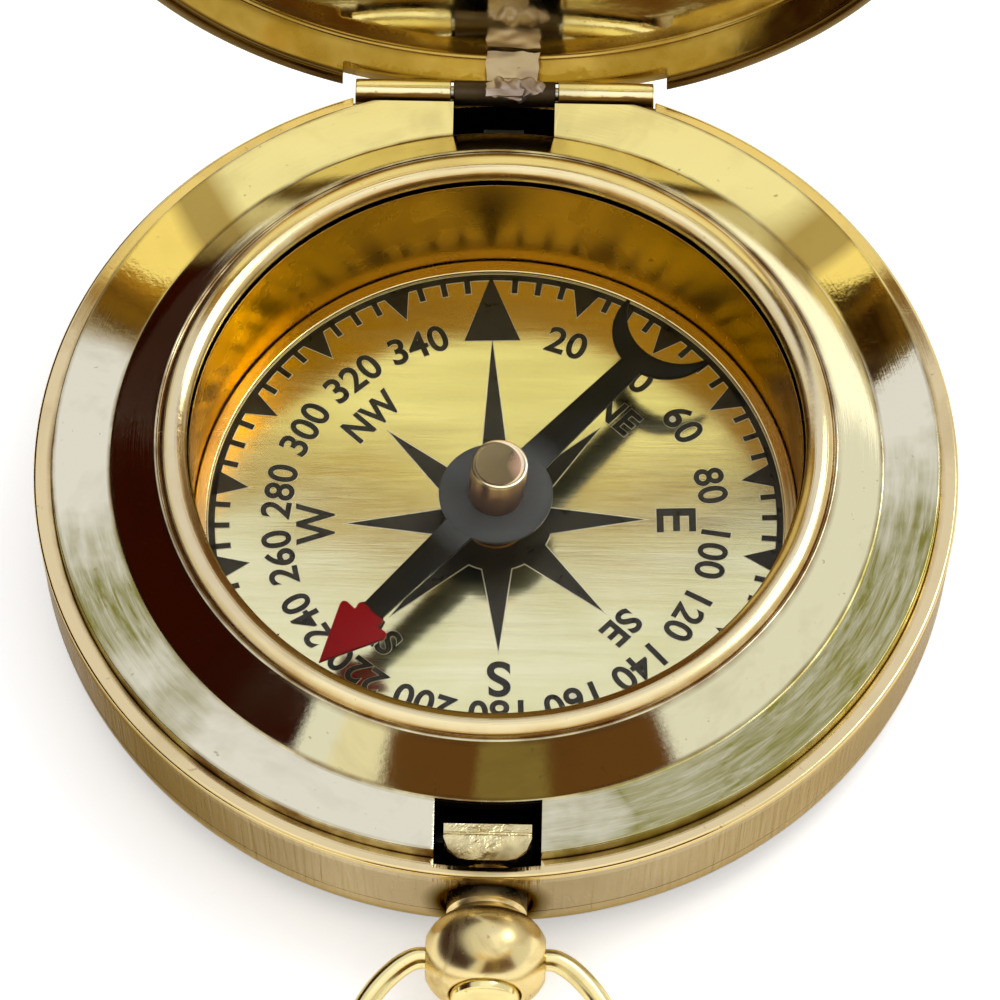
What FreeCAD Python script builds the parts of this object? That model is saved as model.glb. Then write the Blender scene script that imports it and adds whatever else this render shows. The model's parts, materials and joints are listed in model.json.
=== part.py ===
"""Brass pocket compass with a sprung lid, push-button catch and swinging bow.

Millimetres. The origin is on the case's axis at its flat base, +Z points up through the dial,
+Y points at the lid's hinge and -Y at the pendant. The lid is modelled open.
"""

import FreeCAD, Part

import math
import os

V = FreeCAD.Vector
X_AXIS = V(1, 0, 0)
Y_AXIS = V(0, 1, 0)
Z_AXIS = V(0, 0, 1)
ORIGIN = V(0, 0, 0)

# ---- case ----
CASE_R = 25.0
CASE_FOOT_R = 21.1
CASE_SHOULDER_R = 24.7
CASE_CORNER_R = 3.6
CASE_WALL = 1.0
CASE_FLOOR = 0.9
LEDGE_Z = 8.1
PARTING_Z = 8.9

# ---- cover ring and compass cell ----
COVER_R = CASE_R - CASE_WALL
COVER_SKIRT = 0.8
COVER_SKIRT_Z = 6.4
CONE_FOOT_R = 20.86
CONE_TOP_R = 18.42
CONE_TOP_Z = 11.2
CELL_R = 16.5
CELL_OUTER_R = 17.3
CELL_FLOOR_Z = 1.96
GLASS_R = 17.25
GLASS_Z = 9.9
GLASS_THICKNESS = 0.9
BEZEL_R = 18.2
BEZEL_OPENING_R = 16.68
BEZEL_SEAT_Z = 10.6
BEZEL_TOP_Z = 11.5

# ---- slots in the cover ring ----
HINGE_SLOT_WIDTH = 5.56
HINGE_SLOT_Y = 20.6
CATCH_SLOT_WIDTH = 5.74
CATCH_SLOT_Y = -20.5
CATCH_POCKET_R = 24.6
CATCH_POCKET_Z = 7.4

# ---- dial and pivot ----
DIAL_R = 16.4
DIAL_THICKNESS = 0.5
RETAINER_R = 16.45
RETAINER_INNER_R = 15.72
RETAINER_HEIGHT = 0.26
PIVOT_COLLAR_R = 1.65
PIVOT_COLLAR_HEIGHT = 0.45
PIVOT_STEM_R = 1.05
PIN_R = 0.35
PIN_SHOULDER_Z = 6.2
PIN_TIP_Z = 7.66
PIN_TIP_R = 0.04

# ---- needle ----
NEEDLE_AZIMUTH = 221.2
NEEDLE_Z = 5.3
NEEDLE_THICKNESS = 0.28
NEEDLE_HUB_R = 3.1
NEEDLE_HUB_HALF = 0.95
NEEDLE_NECK_HALF = 0.68
NEEDLE_HUB_DOME = 0.3
ARROW_TIP = 14.15
ARROW_BARB = 10.7
ARROW_BARB_HALF = 1.62
ARROW_NOTCH = 10.4
ARROW_NECK = 9.75
CRESCENT_CENTRE = 13.8
CRESCENT_R = 2.95
CRESCENT_BITE_CENTRE = 15.1
CRESCENT_BITE_R = 3.0
CRESCENT_HORN = 13.95
CAP_R = 1.525
CAP_RIVET_R = 1.28
CAP_BORE_R = 0.95
CAP_FOOT_Z = 4.95
CAP_TOP_Z = 8.75
CAP_CHAMFER = 0.12
JEWEL_Z = 7.2
JEWEL_THICKNESS = 0.9
JEWEL_CUP_R = 0.5
JEWEL_CUP_DEPTH = 0.54

# ---- hinge ----
HINGE_Y = 23.85
HINGE_Z = 8.2
BARREL_R = 0.62
HINGE_HALF_LENGTH = 8.2
CASE_KNUCKLE_X = 2.95
LID_KNUCKLE_X = 2.8
HINGE_PIN_R = 0.35
HINGE_PLAY = 0.04
HINGE_SEAT_Z = 7.4
HINGE_SEAT_Y = 23.0
HINGE_SEAT_HALF = 8.6
KICKER_RELIEF_Z = 6.6

# ---- lid ----
LID_OPEN_DEG = 96.0
LID_Z = 8.22
LID_WALL = 0.9
LID_WALL_TOP_Z = 11.0
LID_CROWN = 2.2
LID_SHOULDER_R = 1.3
LID_OUTER_TOP_Z = 11.4
LID_OUTER_CROWN = 2.35
LID_NOTCH_HALF = 8.9
LID_NOTCH_INNER = 0.9
LID_NOTCH_OUTER = 1.9
LID_GROOVE_R = 24.55
LID_GROOVE_HALF = 3.4
LID_GROOVE_BOTTOM = 8.48
LID_GROOVE_TOP = 9.3
LUG_HALF = 1.45
LUG_OFFSET = 0.4
LUG_THICKNESS = 0.5
LUG_HEIGHT = 2.75
TAIL_HALF = 1.1
TAIL_REACH = 1.5

# ---- catch, push button, pendant and bow ----
CATCH_HALF = 2.35
CATCH_BACK_Y = -22.2
CATCH_STEM_Y = -23.2
CATCH_NOSE_Y = -24.2
CATCH_RAMP_Y = -23.1
CATCH_NOSE_Z = 8.56
CATCH_TOP_Z = 8.96
CATCH_FOOT_Z = 3.5
PENDANT_Z = 4.75
NECK_R = 2.15
NECK_INNER_Y = -23.45
NECK_RECESS_R = 2.5
NECK_RECESS_Y = -24.35
BALL_R = 3.43
BALL_Y = -28.1
BALL_HALF_LENGTH = 2.25
BALL_NECK_R = 2.6
BALL_END_R = 2.3
BALL_FLAT_X = 3.2
BUTTON_STEM_R = 1.25
BUTTON_HEAD_R = 1.85
BUTTON_PLAY = 0.05
BUTTON_INNER_Y = -23.25
BUTTON_HEAD_Y = -29.55
BUTTON_END_Y = -30.75
BUTTON_SEAT_Y = -28.55
BOW_WIRE_R = 0.6
BOW_RING_R = 7.35
BOW_RING_CENTRE = 6.25
BOW_PIN_X = 2.3
BOW_PLAY = 0.04
BOW_FLOOR_GAP = 0.05

# ---- springs and their screws ----
SPRING_R = 21.4
SPRING_THICKNESS = 0.6
SPRING_LOW_Z = 4.3
SPRING_HIGH_Z = 6.1
SPRING_FOOT = 0.6
SPRING_FOOT_R = 18.3
SPRING_FOOT_DEG = 9.0
LIFT_SPRING_DEG = 62.0
LIFT_FINGER_TOP_Z = 7.4
LATCH_SPRING_DEG = 66.0
SCREW_HEAD_R = 0.9
SCREW_HEAD_HEIGHT = 0.6
SCREW_SHANK_R = 0.5
SCREW_HOLE_DEPTH = 0.55
SCREW_SLOT_WIDTH = 0.3
SCREW_SLOT_DEPTH = 0.25

SPRING_OUTER_R = SPRING_R + SPRING_THICKNESS
SPRING_FOOT_TOP_Z = CASE_FLOOR + SPRING_FOOT
SCREW_RING_R = (SPRING_FOOT_R + SPRING_R - SPRING_THICKNESS) / 2


# ---- helpers ----
def outline(path, place):
    """Closed wire through path; a pair of pairs is an arc through the first to the second."""
    edges = []
    last = place(*path[0])
    for step in path[1:] + path[:1]:
        if isinstance(step[0], tuple):
            middle = place(*step[0])
            end = place(*step[1])
            edges.append(Part.Arc(last, middle, end).toShape())
        else:
            end = place(*step)
            edges.append(Part.makeLine(last, end))
        last = end
    return Part.Wire(edges)


def turned(path, degrees=360):
    """Solid turned about Z from an outline of (radius, height) points."""
    face = Part.Face(outline(path, lambda r, z: V(r, 0, z)))
    return face.revolve(ORIGIN, Z_AXIS, degrees)


def turned_about_y(path, z):
    """Solid turned about the Y line at height z from an outline of (radius, y) points."""
    face = Part.Face(outline(path, lambda r, y: V(r, y, z)))
    return face.revolve(V(0, 0, z), Y_AXIS, 360)


def box(low, high):
    size = [b - a for a, b in zip(low, high)]
    return Part.makeBox(*size, V(*low))


def rod(radius, start, end):
    span = V(*end) - V(*start)
    return Part.makeCylinder(radius, span.Length, V(*start), span)


def joined(*pieces):
    return pieces[0].multiFuse(list(pieces[1:])).removeSplitter()


def arc_point(centre_r, centre_z, radius, degrees):
    angle = math.radians(degrees)
    return (centre_r + radius * math.cos(angle), centre_z + radius * math.sin(angle))


def spun(shape, degrees):
    """Copy of shape turned clockwise from +Y, seen from above."""
    copy = shape.copy()
    copy.rotate(ORIGIN, Z_AXIS, -degrees)
    return copy


def opened(shape):
    """Copy of a lid piece, drawn shut, swung to where the lid stands open."""
    copy = shape.copy()
    copy.rotate(V(0, HINGE_Y, HINGE_Z), X_AXIS, -LID_OPEN_DEG)
    return copy


# ---- case ----
def case_body():
    inner_r = CASE_R - CASE_WALL
    corner = CASE_CORNER_R
    inner_corner = corner - CASE_FLOOR
    inner_top_z = CASE_FLOOR + inner_corner
    lip = 0.15
    cup = turned([
        (0, 0),
        (CASE_FOOT_R, 0),
        (arc_point(CASE_FOOT_R, corner, corner, -45), (CASE_SHOULDER_R, corner)),
        (CASE_R, LEDGE_Z - lip),
        (CASE_R - lip, LEDGE_Z),
        (inner_r, LEDGE_Z),
        (inner_r, inner_top_z),
        (arc_point(inner_r - inner_corner, inner_top_z, inner_corner, -45),
         (inner_r - inner_corner, CASE_FLOOR)),
        (0, CASE_FLOOR),
    ])
    hinge_seat = box(
        (-HINGE_SEAT_HALF, HINGE_SEAT_Y - 2, HINGE_SEAT_Z), (HINGE_SEAT_HALF, CASE_R + 1, PARTING_Z))
    kicker_relief = box(
        (-HINGE_SLOT_WIDTH / 2, HINGE_SEAT_Y - 2, KICKER_RELIEF_Z), (HINGE_SLOT_WIDTH / 2, CASE_R + 1, PARTING_Z))
    catch_pocket = rod(CATCH_POCKET_R, (0, 0, CATCH_POCKET_Z), (0, 0, PARTING_Z)).common(
        box((-CATCH_SLOT_WIDTH / 2, -CASE_R, CATCH_POCKET_Z), (CATCH_SLOT_WIDTH / 2, 0, PARTING_Z)))
    neck_hole = rod(NECK_R, (0, -20, PENDANT_Z), (0, -CASE_R - 1, PENDANT_Z))
    neck_recess = rod(NECK_RECESS_R, (0, NECK_RECESS_Y, PENDANT_Z), (0, -CASE_R - 1, PENDANT_Z))
    cup = cup.cut([hinge_seat, kicker_relief, catch_pocket, neck_hole, neck_recess])
    for x, y in screw_places():
        cup = cup.cut(rod(SCREW_SHANK_R, (x, y, CASE_FLOOR - SCREW_HOLE_DEPTH), (x, y, CASE_FLOOR)))
    return cup


def slot_cutters():
    hinge_half = HINGE_SLOT_WIDTH / 2
    catch_half = CATCH_SLOT_WIDTH / 2
    hinge_slot = box((-hinge_half, HINGE_SLOT_Y, 5), (hinge_half, CASE_R + 1, PARTING_Z + 0.1))
    catch_slot = box((-catch_half, -CASE_R - 1, 5), (catch_half, CATCH_SLOT_Y, PARTING_Z + 0.1))
    return [hinge_slot, catch_slot]


def cover_ring():
    """Flat flange and raised cone in one turning, its skirt pressed into the case's mouth."""
    edge = 0.12
    groove = 0.1
    skirt_r = COVER_R - COVER_SKIRT
    ring = turned([
        (CELL_OUTER_R, LEDGE_Z),
        (skirt_r, LEDGE_Z),
        (skirt_r, COVER_SKIRT_Z),
        (COVER_R, COVER_SKIRT_Z),
        (COVER_R, PARTING_Z - edge),
        (COVER_R - edge, PARTING_Z),
        (CONE_FOOT_R, PARTING_Z),
        (CONE_TOP_R, CONE_TOP_Z),
        (BEZEL_R + groove, CONE_TOP_Z),
        (BEZEL_R + groove, CONE_TOP_Z - groove),
        (BEZEL_R, CONE_TOP_Z - groove),
        (BEZEL_R, BEZEL_SEAT_Z),
        (CELL_OUTER_R, BEZEL_SEAT_Z),
    ])
    barrel_relief = box(
        (-HINGE_SEAT_HALF, HINGE_SEAT_Y, 5), (HINGE_SEAT_HALF, CASE_R + 1, PARTING_Z + 0.1))
    return ring.cut(slot_cutters() + [barrel_relief])


def compass_cell():
    """Cup that holds the dial, with the glass resting on its rim."""
    return turned([
        (0, CASE_FLOOR),
        (CELL_OUTER_R, CASE_FLOOR),
        (CELL_OUTER_R, GLASS_Z),
        (CELL_R, GLASS_Z),
        (CELL_R, CELL_FLOOR_Z),
        (0, CELL_FLOOR_Z),
    ])


def bezel_ring():
    lip_z = GLASS_Z + GLASS_THICKNESS
    roll = 0.3
    return turned([
        (CELL_OUTER_R, BEZEL_SEAT_Z),
        (BEZEL_R, BEZEL_SEAT_Z),
        (BEZEL_R, BEZEL_TOP_Z - roll),
        (arc_point(BEZEL_R - roll, BEZEL_TOP_Z - roll, roll, 45), (BEZEL_R - roll, BEZEL_TOP_Z)),
        (BEZEL_OPENING_R + roll, BEZEL_TOP_Z),
        (arc_point(BEZEL_OPENING_R + roll, BEZEL_TOP_Z - roll, roll, 135),
         (BEZEL_OPENING_R, BEZEL_TOP_Z - roll)),
        (BEZEL_OPENING_R, lip_z),
        (CELL_OUTER_R, lip_z),
    ])


def glass():
    bevel = 0.1
    top_z = GLASS_Z + GLASS_THICKNESS
    return turned([
        (0, GLASS_Z),
        (GLASS_R - bevel, GLASS_Z),
        (GLASS_R, GLASS_Z + bevel),
        (GLASS_R, top_z),
        (0, top_z),
    ])


def dial():
    top_z = CELL_FLOOR_Z + DIAL_THICKNESS
    plate = rod(DIAL_R, (0, 0, CELL_FLOOR_Z), (0, 0, top_z))
    return plate.cut(rod(PIVOT_STEM_R, (0, 0, CELL_FLOOR_Z), (0, 0, top_z)))


def dial_retaining_ring():
    low_z = CELL_FLOOR_Z + DIAL_THICKNESS
    high_z = low_z + RETAINER_HEIGHT
    edge = 0.1
    return turned([
        (RETAINER_INNER_R, low_z),
        (RETAINER_R, low_z),
        (RETAINER_R, high_z),
        (RETAINER_INNER_R + edge, high_z),
        (RETAINER_INNER_R, high_z - edge),
    ])


# ---- pivot and needle ----
def pivot_base():
    dial_z = CELL_FLOOR_Z + DIAL_THICKNESS
    top_z = dial_z + PIVOT_COLLAR_HEIGHT
    edge = 0.15
    base = turned([
        (0, CELL_FLOOR_Z),
        (PIVOT_STEM_R, CELL_FLOOR_Z),
        (PIVOT_STEM_R, dial_z),
        (PIVOT_COLLAR_R, dial_z),
        (PIVOT_COLLAR_R, top_z - edge),
        (PIVOT_COLLAR_R - edge, top_z),
        (0, top_z),
    ])
    return base.cut(rod(PIN_R, (0, 0, CELL_FLOOR_Z), (0, 0, top_z)))


def pivot_pin():
    return turned([
        (0, CELL_FLOOR_Z),
        (PIN_R, CELL_FLOOR_Z),
        (PIN_R, PIN_SHOULDER_Z),
        (PIN_TIP_R, PIN_TIP_Z),
        (0, PIN_TIP_Z),
    ])


def needle_blade():
    """Blade drawn along +Y with the arrow ahead, then turned to its bearing."""
    top_z = NEEDLE_Z + NEEDLE_THICKNESS
    lobe = 0.2
    right_half = [
        (NEEDLE_HUB_HALF, 0),
        (NEEDLE_NECK_HALF, ARROW_NECK),
        ((NEEDLE_NECK_HALF + lobe, (ARROW_NECK + ARROW_NOTCH) / 2), (NEEDLE_NECK_HALF + lobe / 2, ARROW_NOTCH)),
        (ARROW_BARB_HALF - lobe, ARROW_NOTCH),
        ((ARROW_BARB_HALF, ARROW_NOTCH + lobe / 2), (ARROW_BARB_HALF, ARROW_BARB)),
    ]
    left_half = [
        (-ARROW_BARB_HALF, ARROW_BARB),
        ((-ARROW_BARB_HALF, ARROW_NOTCH + lobe / 2), (lobe - ARROW_BARB_HALF, ARROW_NOTCH)),
        (-NEEDLE_NECK_HALF - lobe / 2, ARROW_NOTCH),
        ((-NEEDLE_NECK_HALF - lobe, (ARROW_NECK + ARROW_NOTCH) / 2), (-NEEDLE_NECK_HALF, ARROW_NECK)),
        (-NEEDLE_HUB_HALF, 0),
    ]
    tail_y = -(CRESCENT_CENTRE - CRESCENT_R) - NEEDLE_THICKNESS
    tail = [(-NEEDLE_NECK_HALF, tail_y), (NEEDLE_NECK_HALF, tail_y)]
    bar_path = right_half + [(0, ARROW_TIP)] + left_half + tail
    bar_face = Part.Face(outline(bar_path, lambda x, y: V(x, y, NEEDLE_Z)))
    bar = bar_face.extrude(V(0, 0, NEEDLE_THICKNESS))
    disc = rod(CRESCENT_R, (0, -CRESCENT_CENTRE, NEEDLE_Z), (0, -CRESCENT_CENTRE, top_z))
    bite = rod(CRESCENT_BITE_R, (0, -CRESCENT_BITE_CENTRE, NEEDLE_Z - 1),
               (0, -CRESCENT_BITE_CENTRE, top_z + 1))
    beyond_horns = box((-5, -20, NEEDLE_Z - 1), (5, -CRESCENT_HORN, top_z + 1))
    crescent = disc.cut([bite, beyond_horns])
    rim_r = NEEDLE_HUB_R - NEEDLE_HUB_DOME
    hub = turned([
        (0, NEEDLE_Z),
        (NEEDLE_HUB_R, NEEDLE_Z),
        (NEEDLE_HUB_R, top_z),
        (rim_r, top_z + NEEDLE_HUB_DOME / 2),
        (0, top_z + NEEDLE_HUB_DOME / 2),
    ])
    blade = joined(bar, crescent, hub)
    blade = blade.cut(rod(CAP_RIVET_R, (0, 0, NEEDLE_Z - 1), (0, 0, top_z + 1)))
    return spun(blade, NEEDLE_AZIMUTH)


def needle_cap():
    seat_z = NEEDLE_Z + NEEDLE_THICKNESS + NEEDLE_HUB_DOME / 2
    jewel_top_z = JEWEL_Z + JEWEL_THICKNESS
    return turned([
        (CAP_BORE_R, CAP_FOOT_Z),
        (CAP_RIVET_R, CAP_FOOT_Z),
        (CAP_RIVET_R, seat_z),
        (CAP_R, seat_z),
        (CAP_R, CAP_TOP_Z - CAP_CHAMFER),
        (CAP_R - CAP_CHAMFER, CAP_TOP_Z),
        (0, CAP_TOP_Z),
        (0, jewel_top_z),
        (CAP_BORE_R, jewel_top_z),
    ])


def cap_jewel():
    top_z = JEWEL_Z + JEWEL_THICKNESS
    return turned([
        (JEWEL_CUP_R, JEWEL_Z),
        (CAP_BORE_R, JEWEL_Z),
        (CAP_BORE_R, top_z),
        (0, top_z),
        (0, JEWEL_Z + JEWEL_CUP_DEPTH),
    ])


# ---- hinge ----
def barrel(start_x, end_x, bore_r):
    start = (start_x, HINGE_Y, HINGE_Z)
    end = (end_x, HINGE_Y, HINGE_Z)
    return rod(BARREL_R, start, end), rod(bore_r, start, end)


def case_knuckle(start_x, end_x):
    """Barrel standing on the seat cut in the case's wall."""
    tube, bore = barrel(start_x, end_x, HINGE_PIN_R)
    foot_half = BARREL_R * 0.8
    foot = box((start_x, HINGE_Y - foot_half, HINGE_SEAT_Z), (end_x, HINGE_Y + foot_half, HINGE_Z))
    return joined(tube, foot).cut(bore)


def hinge_pin():
    return rod(HINGE_PIN_R, (-HINGE_HALF_LENGTH, HINGE_Y, HINGE_Z), (HINGE_HALF_LENGTH, HINGE_Y, HINGE_Z))


# ---- lid ----
def crown_z(foot_r, foot_z, crown, radius):
    """Height at a radius of a spherical crown that rises from foot_z at foot_r."""
    sphere_r = (foot_r ** 2 + crown ** 2) / (2 * crown)
    return foot_z + crown - sphere_r + math.sqrt(sphere_r ** 2 - radius ** 2)


def lid_shell():
    inner_r = CASE_R - LID_WALL
    rim_r = CASE_R - LID_SHOULDER_R
    shoulder_z = LID_OUTER_TOP_Z - LID_SHOULDER_R
    inside_half = crown_z(inner_r, LID_WALL_TOP_Z, LID_CROWN, inner_r / 2)
    outside_half = crown_z(rim_r, LID_OUTER_TOP_Z, LID_OUTER_CROWN, rim_r / 2)
    shell = turned([
        (inner_r, LID_Z),
        (CASE_R, LID_Z),
        (CASE_R, shoulder_z),
        (arc_point(rim_r, shoulder_z, LID_SHOULDER_R, 45), (rim_r, LID_OUTER_TOP_Z)),
        ((rim_r / 2, outside_half), (0, LID_OUTER_TOP_Z + LID_OUTER_CROWN)),
        (0, LID_WALL_TOP_Z + LID_CROWN),
        ((inner_r / 2, inside_half), (inner_r, LID_WALL_TOP_Z)),
    ])
    notch_face = Part.Face(outline([
        (21, LID_Z - 1),
        (CASE_R + 1, LID_Z - 1),
        (CASE_R + 1, HINGE_Z + LID_NOTCH_OUTER),
        (CASE_R, HINGE_Z + LID_NOTCH_OUTER),
        (inner_r, HINGE_Z + LID_NOTCH_INNER),
        (21, HINGE_Z + LID_NOTCH_INNER),
    ], lambda y, z: V(-LID_NOTCH_HALF, y, z)))
    notch = notch_face.extrude(V(2 * LID_NOTCH_HALF, 0, 0))
    groove = rod(LID_GROOVE_R, (0, 0, LID_GROOVE_BOTTOM), (0, 0, LID_GROOVE_TOP)).common(
        box((-LID_GROOVE_HALF, -CASE_R, LID_Z), (LID_GROOVE_HALF, 0, PARTING_Z + 2)))
    return opened(shell.cut([notch, groove]))


def lid_knuckle():
    tube, bore = barrel(-LID_KNUCKLE_X, LID_KNUCKLE_X, HINGE_PIN_R + HINGE_PLAY)
    return opened(tube.cut(bore))


def lid_kicker():
    """Lug soldered from the lid's knuckle to its wall, with the tail that the lift spring pushes."""
    wall_y = math.sqrt((CASE_R - LID_WALL) ** 2 - (LUG_OFFSET + LUG_HALF) ** 2)
    lug = box(
        (LUG_OFFSET - LUG_HALF, wall_y - LUG_THICKNESS, HINGE_Z),
        (LUG_OFFSET + LUG_HALF, wall_y, HINGE_Z + LUG_HEIGHT))
    tail = box((-TAIL_HALF, HINGE_Y - TAIL_REACH, HINGE_Z - 0.25), (TAIL_HALF, HINGE_Y, HINGE_Z + 0.25))
    tail.rotate(V(0, HINGE_Y, HINGE_Z), X_AXIS, 35)
    barrel_space = rod(BARREL_R, (-LID_KNUCKLE_X, HINGE_Y, HINGE_Z), (LID_KNUCKLE_X, HINGE_Y, HINGE_Z))
    collar = rod(BARREL_R + LUG_THICKNESS / 2, (-TAIL_HALF, HINGE_Y, HINGE_Z), (TAIL_HALF, HINGE_Y, HINGE_Z))
    return opened(joined(lug, tail, collar).cut(barrel_space))


# ---- catch, button, pendant, bow ----
def latch_catch():
    """Nosed bolt that the push button drives inwards, clear of the lid's groove."""
    nose = [
        (CATCH_BACK_Y, CATCH_FOOT_Z),
        (CATCH_BACK_Y, CATCH_TOP_Z),
        (CATCH_RAMP_Y, CATCH_TOP_Z),
        (CATCH_NOSE_Y, CATCH_NOSE_Z + 0.12),
        (CATCH_NOSE_Y, CATCH_NOSE_Z),
        (CATCH_STEM_Y, CATCH_NOSE_Z),
        (CATCH_STEM_Y, CATCH_FOOT_Z),
    ]
    face = Part.Face(outline(nose, lambda y, z: V(-CATCH_HALF, y, z)))
    bolt = face.extrude(V(2 * CATCH_HALF, 0, 0))
    return bolt.common(rod(-CATCH_NOSE_Y + 0.05, (0, 0, CATCH_FOOT_Z), (0, 0, CATCH_TOP_Z)))


def pendant():
    ball_inner_y = BALL_Y + BALL_HALF_LENGTH
    ball_outer_y = BALL_Y - BALL_HALF_LENGTH
    neck_end_y = ball_inner_y - 0.3
    body = turned_about_y([
        (0, NECK_INNER_Y),
        (NECK_R, NECK_INNER_Y),
        (NECK_R, neck_end_y),
        (BALL_NECK_R, ball_inner_y - 0.6),
        ((BALL_R * 0.93, BALL_Y + BALL_HALF_LENGTH * 0.45), (BALL_R, BALL_Y)),
        ((BALL_R * 0.9, BALL_Y - BALL_HALF_LENGTH * 0.6), (BALL_END_R, ball_outer_y)),
        (0, ball_outer_y),
    ], PENDANT_Z)
    stem_bore = rod(BUTTON_STEM_R + BUTTON_PLAY, (0, -20, PENDANT_Z), (0, BUTTON_END_Y, PENDANT_Z))
    head_bore = rod(BUTTON_HEAD_R + BUTTON_PLAY, (0, BUTTON_SEAT_Y, PENDANT_Z), (0, BUTTON_END_Y, PENDANT_Z))
    body = body.cut([stem_bore, head_bore])
    for side in (-1, 1):
        flat = rod(BALL_R, (side * BALL_FLAT_X, BALL_Y, PENDANT_Z), (side * (BALL_R + 1), BALL_Y, PENDANT_Z))
        hole = rod(BOW_WIRE_R + BOW_PLAY, (side * (BOW_PIN_X - 0.05), BALL_Y, PENDANT_Z),
                   (side * (BALL_R + 1), BALL_Y, PENDANT_Z))
        body = body.cut([flat, hole])
    return body


def push_button():
    dome = 0.25
    rim_y = BUTTON_END_Y + dome
    face_r = BUTTON_HEAD_R - dome
    return turned_about_y([
        (0, BUTTON_INNER_Y),
        (BUTTON_STEM_R, BUTTON_INNER_Y),
        (BUTTON_STEM_R, BUTTON_HEAD_Y),
        (BUTTON_HEAD_R, BUTTON_HEAD_Y),
        (BUTTON_HEAD_R, rim_y),
        (arc_point(face_r, rim_y, dome, -45), (face_r, BUTTON_END_Y)),
        (0, BUTTON_END_Y),
    ], PENDANT_Z)


def bow():
    """Ring of round wire whose ends turn in to the pendant, drawn level and then let down."""
    end_x = math.sqrt(BOW_RING_R ** 2 - BOW_RING_CENTRE ** 2)
    gap_deg = math.degrees(math.asin(end_x / BOW_RING_R))
    centre_y = BALL_Y - BOW_RING_CENTRE
    ring = Part.makeTorus(BOW_RING_R, BOW_WIRE_R, V(0, centre_y, PENDANT_Z), Z_AXIS, 0, 360, 360 - 2 * gap_deg)
    ring.rotate(V(0, centre_y, PENDANT_Z), Z_AXIS, 90 + gap_deg)
    pieces = [ring]
    for side in (-1, 1):
        pieces.append(Part.makeSphere(BOW_WIRE_R, V(side * end_x, BALL_Y, PENDANT_Z)))
        pieces.append(rod(BOW_WIRE_R, (side * BOW_PIN_X, BALL_Y, PENDANT_Z), (side * end_x, BALL_Y, PENDANT_Z)))
    ring = joined(*pieces)
    drop = PENDANT_Z - BOW_WIRE_R - BOW_FLOOR_GAP
    tilt = math.degrees(math.asin(drop / (BOW_RING_CENTRE + BOW_RING_R)))
    ring.rotate(V(0, BALL_Y, PENDANT_Z), X_AXIS, tilt)
    return ring


# ---- springs ----
def spring_band(degrees):
    """Band along the case's wall, clockwise from +Y seen from above, with a foot at its far end."""
    band = turned([
        (SPRING_R, SPRING_LOW_Z),
        (SPRING_OUTER_R, SPRING_LOW_Z),
        (SPRING_OUTER_R, SPRING_HIGH_Z),
        (SPRING_R, SPRING_HIGH_Z),
    ], degrees)
    foot = turned([
        (SPRING_FOOT_R, CASE_FLOOR),
        (SPRING_R, CASE_FLOOR),
        (SPRING_R, SPRING_FOOT_TOP_Z),
        (SPRING_FOOT_R, SPRING_FOOT_TOP_Z),
    ], SPRING_FOOT_DEG)
    riser = turned([
        (SPRING_R - SPRING_THICKNESS, CASE_FLOOR),
        (SPRING_R, CASE_FLOOR),
        (SPRING_OUTER_R, SPRING_LOW_Z),
        (SPRING_OUTER_R, SPRING_HIGH_Z),
        (SPRING_R, SPRING_HIGH_Z),
        (SPRING_R - SPRING_THICKNESS, SPRING_FOOT_TOP_Z),
    ], SPRING_FOOT_DEG)
    band.rotate(ORIGIN, Z_AXIS, 90 - degrees)
    for piece in (foot, riser):
        piece.rotate(ORIGIN, Z_AXIS, 90 - degrees)
    return joined(band, foot, riser)


def screw_angles():
    """Bearings of the two screws, measured clockwise from +Y."""
    half = SPRING_FOOT_DEG / 2
    return (LIFT_SPRING_DEG - half, 180 + LATCH_SPRING_DEG - half)


def screw_places():
    places = []
    for bearing in screw_angles():
        angle = math.radians(bearing)
        places.append((SCREW_RING_R * math.sin(angle), SCREW_RING_R * math.cos(angle)))
    return places


def screw_holes():
    return [rod(SCREW_SHANK_R, (x, y, 0), (x, y, SPRING_FOOT_TOP_Z)) for x, y in screw_places()]


def lift_spring():
    """Band with a finger under the hinge slot, where the kicker's tail comes down."""
    finger_half = TAIL_HALF
    finger = box((-finger_half, SPRING_R - 0.4, SPRING_LOW_Z), (finger_half, SPRING_OUTER_R, LIFT_FINGER_TOP_Z))
    return joined(spring_band(LIFT_SPRING_DEG), finger).cut(screw_holes())


def latch_spring():
    band = spring_band(LATCH_SPRING_DEG)
    pad = box((-CATCH_HALF, SPRING_R, SPRING_LOW_Z), (CATCH_HALF, -CATCH_BACK_Y - 0.02, SPRING_HIGH_Z))
    return spun(joined(band, pad), 180).cut(screw_holes())


def spring_screws():
    """Two slotted screws that hold the springs' feet to the case's floor."""
    screws = []
    low_z = CASE_FLOOR - SCREW_HOLE_DEPTH
    top_z = SPRING_FOOT_TOP_Z + SCREW_HEAD_HEIGHT
    for x, y in screw_places():
        shank = rod(SCREW_SHANK_R, (x, y, low_z), (x, y, SPRING_FOOT_TOP_Z))
        head = rod(SCREW_HEAD_R, (x, y, SPRING_FOOT_TOP_Z), (x, y, top_z))
        slot = box((x - SCREW_HEAD_R, y - SCREW_SLOT_WIDTH / 2, top_z - SCREW_SLOT_DEPTH),
                   (x + SCREW_HEAD_R, y + SCREW_SLOT_WIDTH / 2, top_z))
        screws.append(joined(shank, head).cut(slot))
    return Part.makeCompound(screws)


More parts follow.
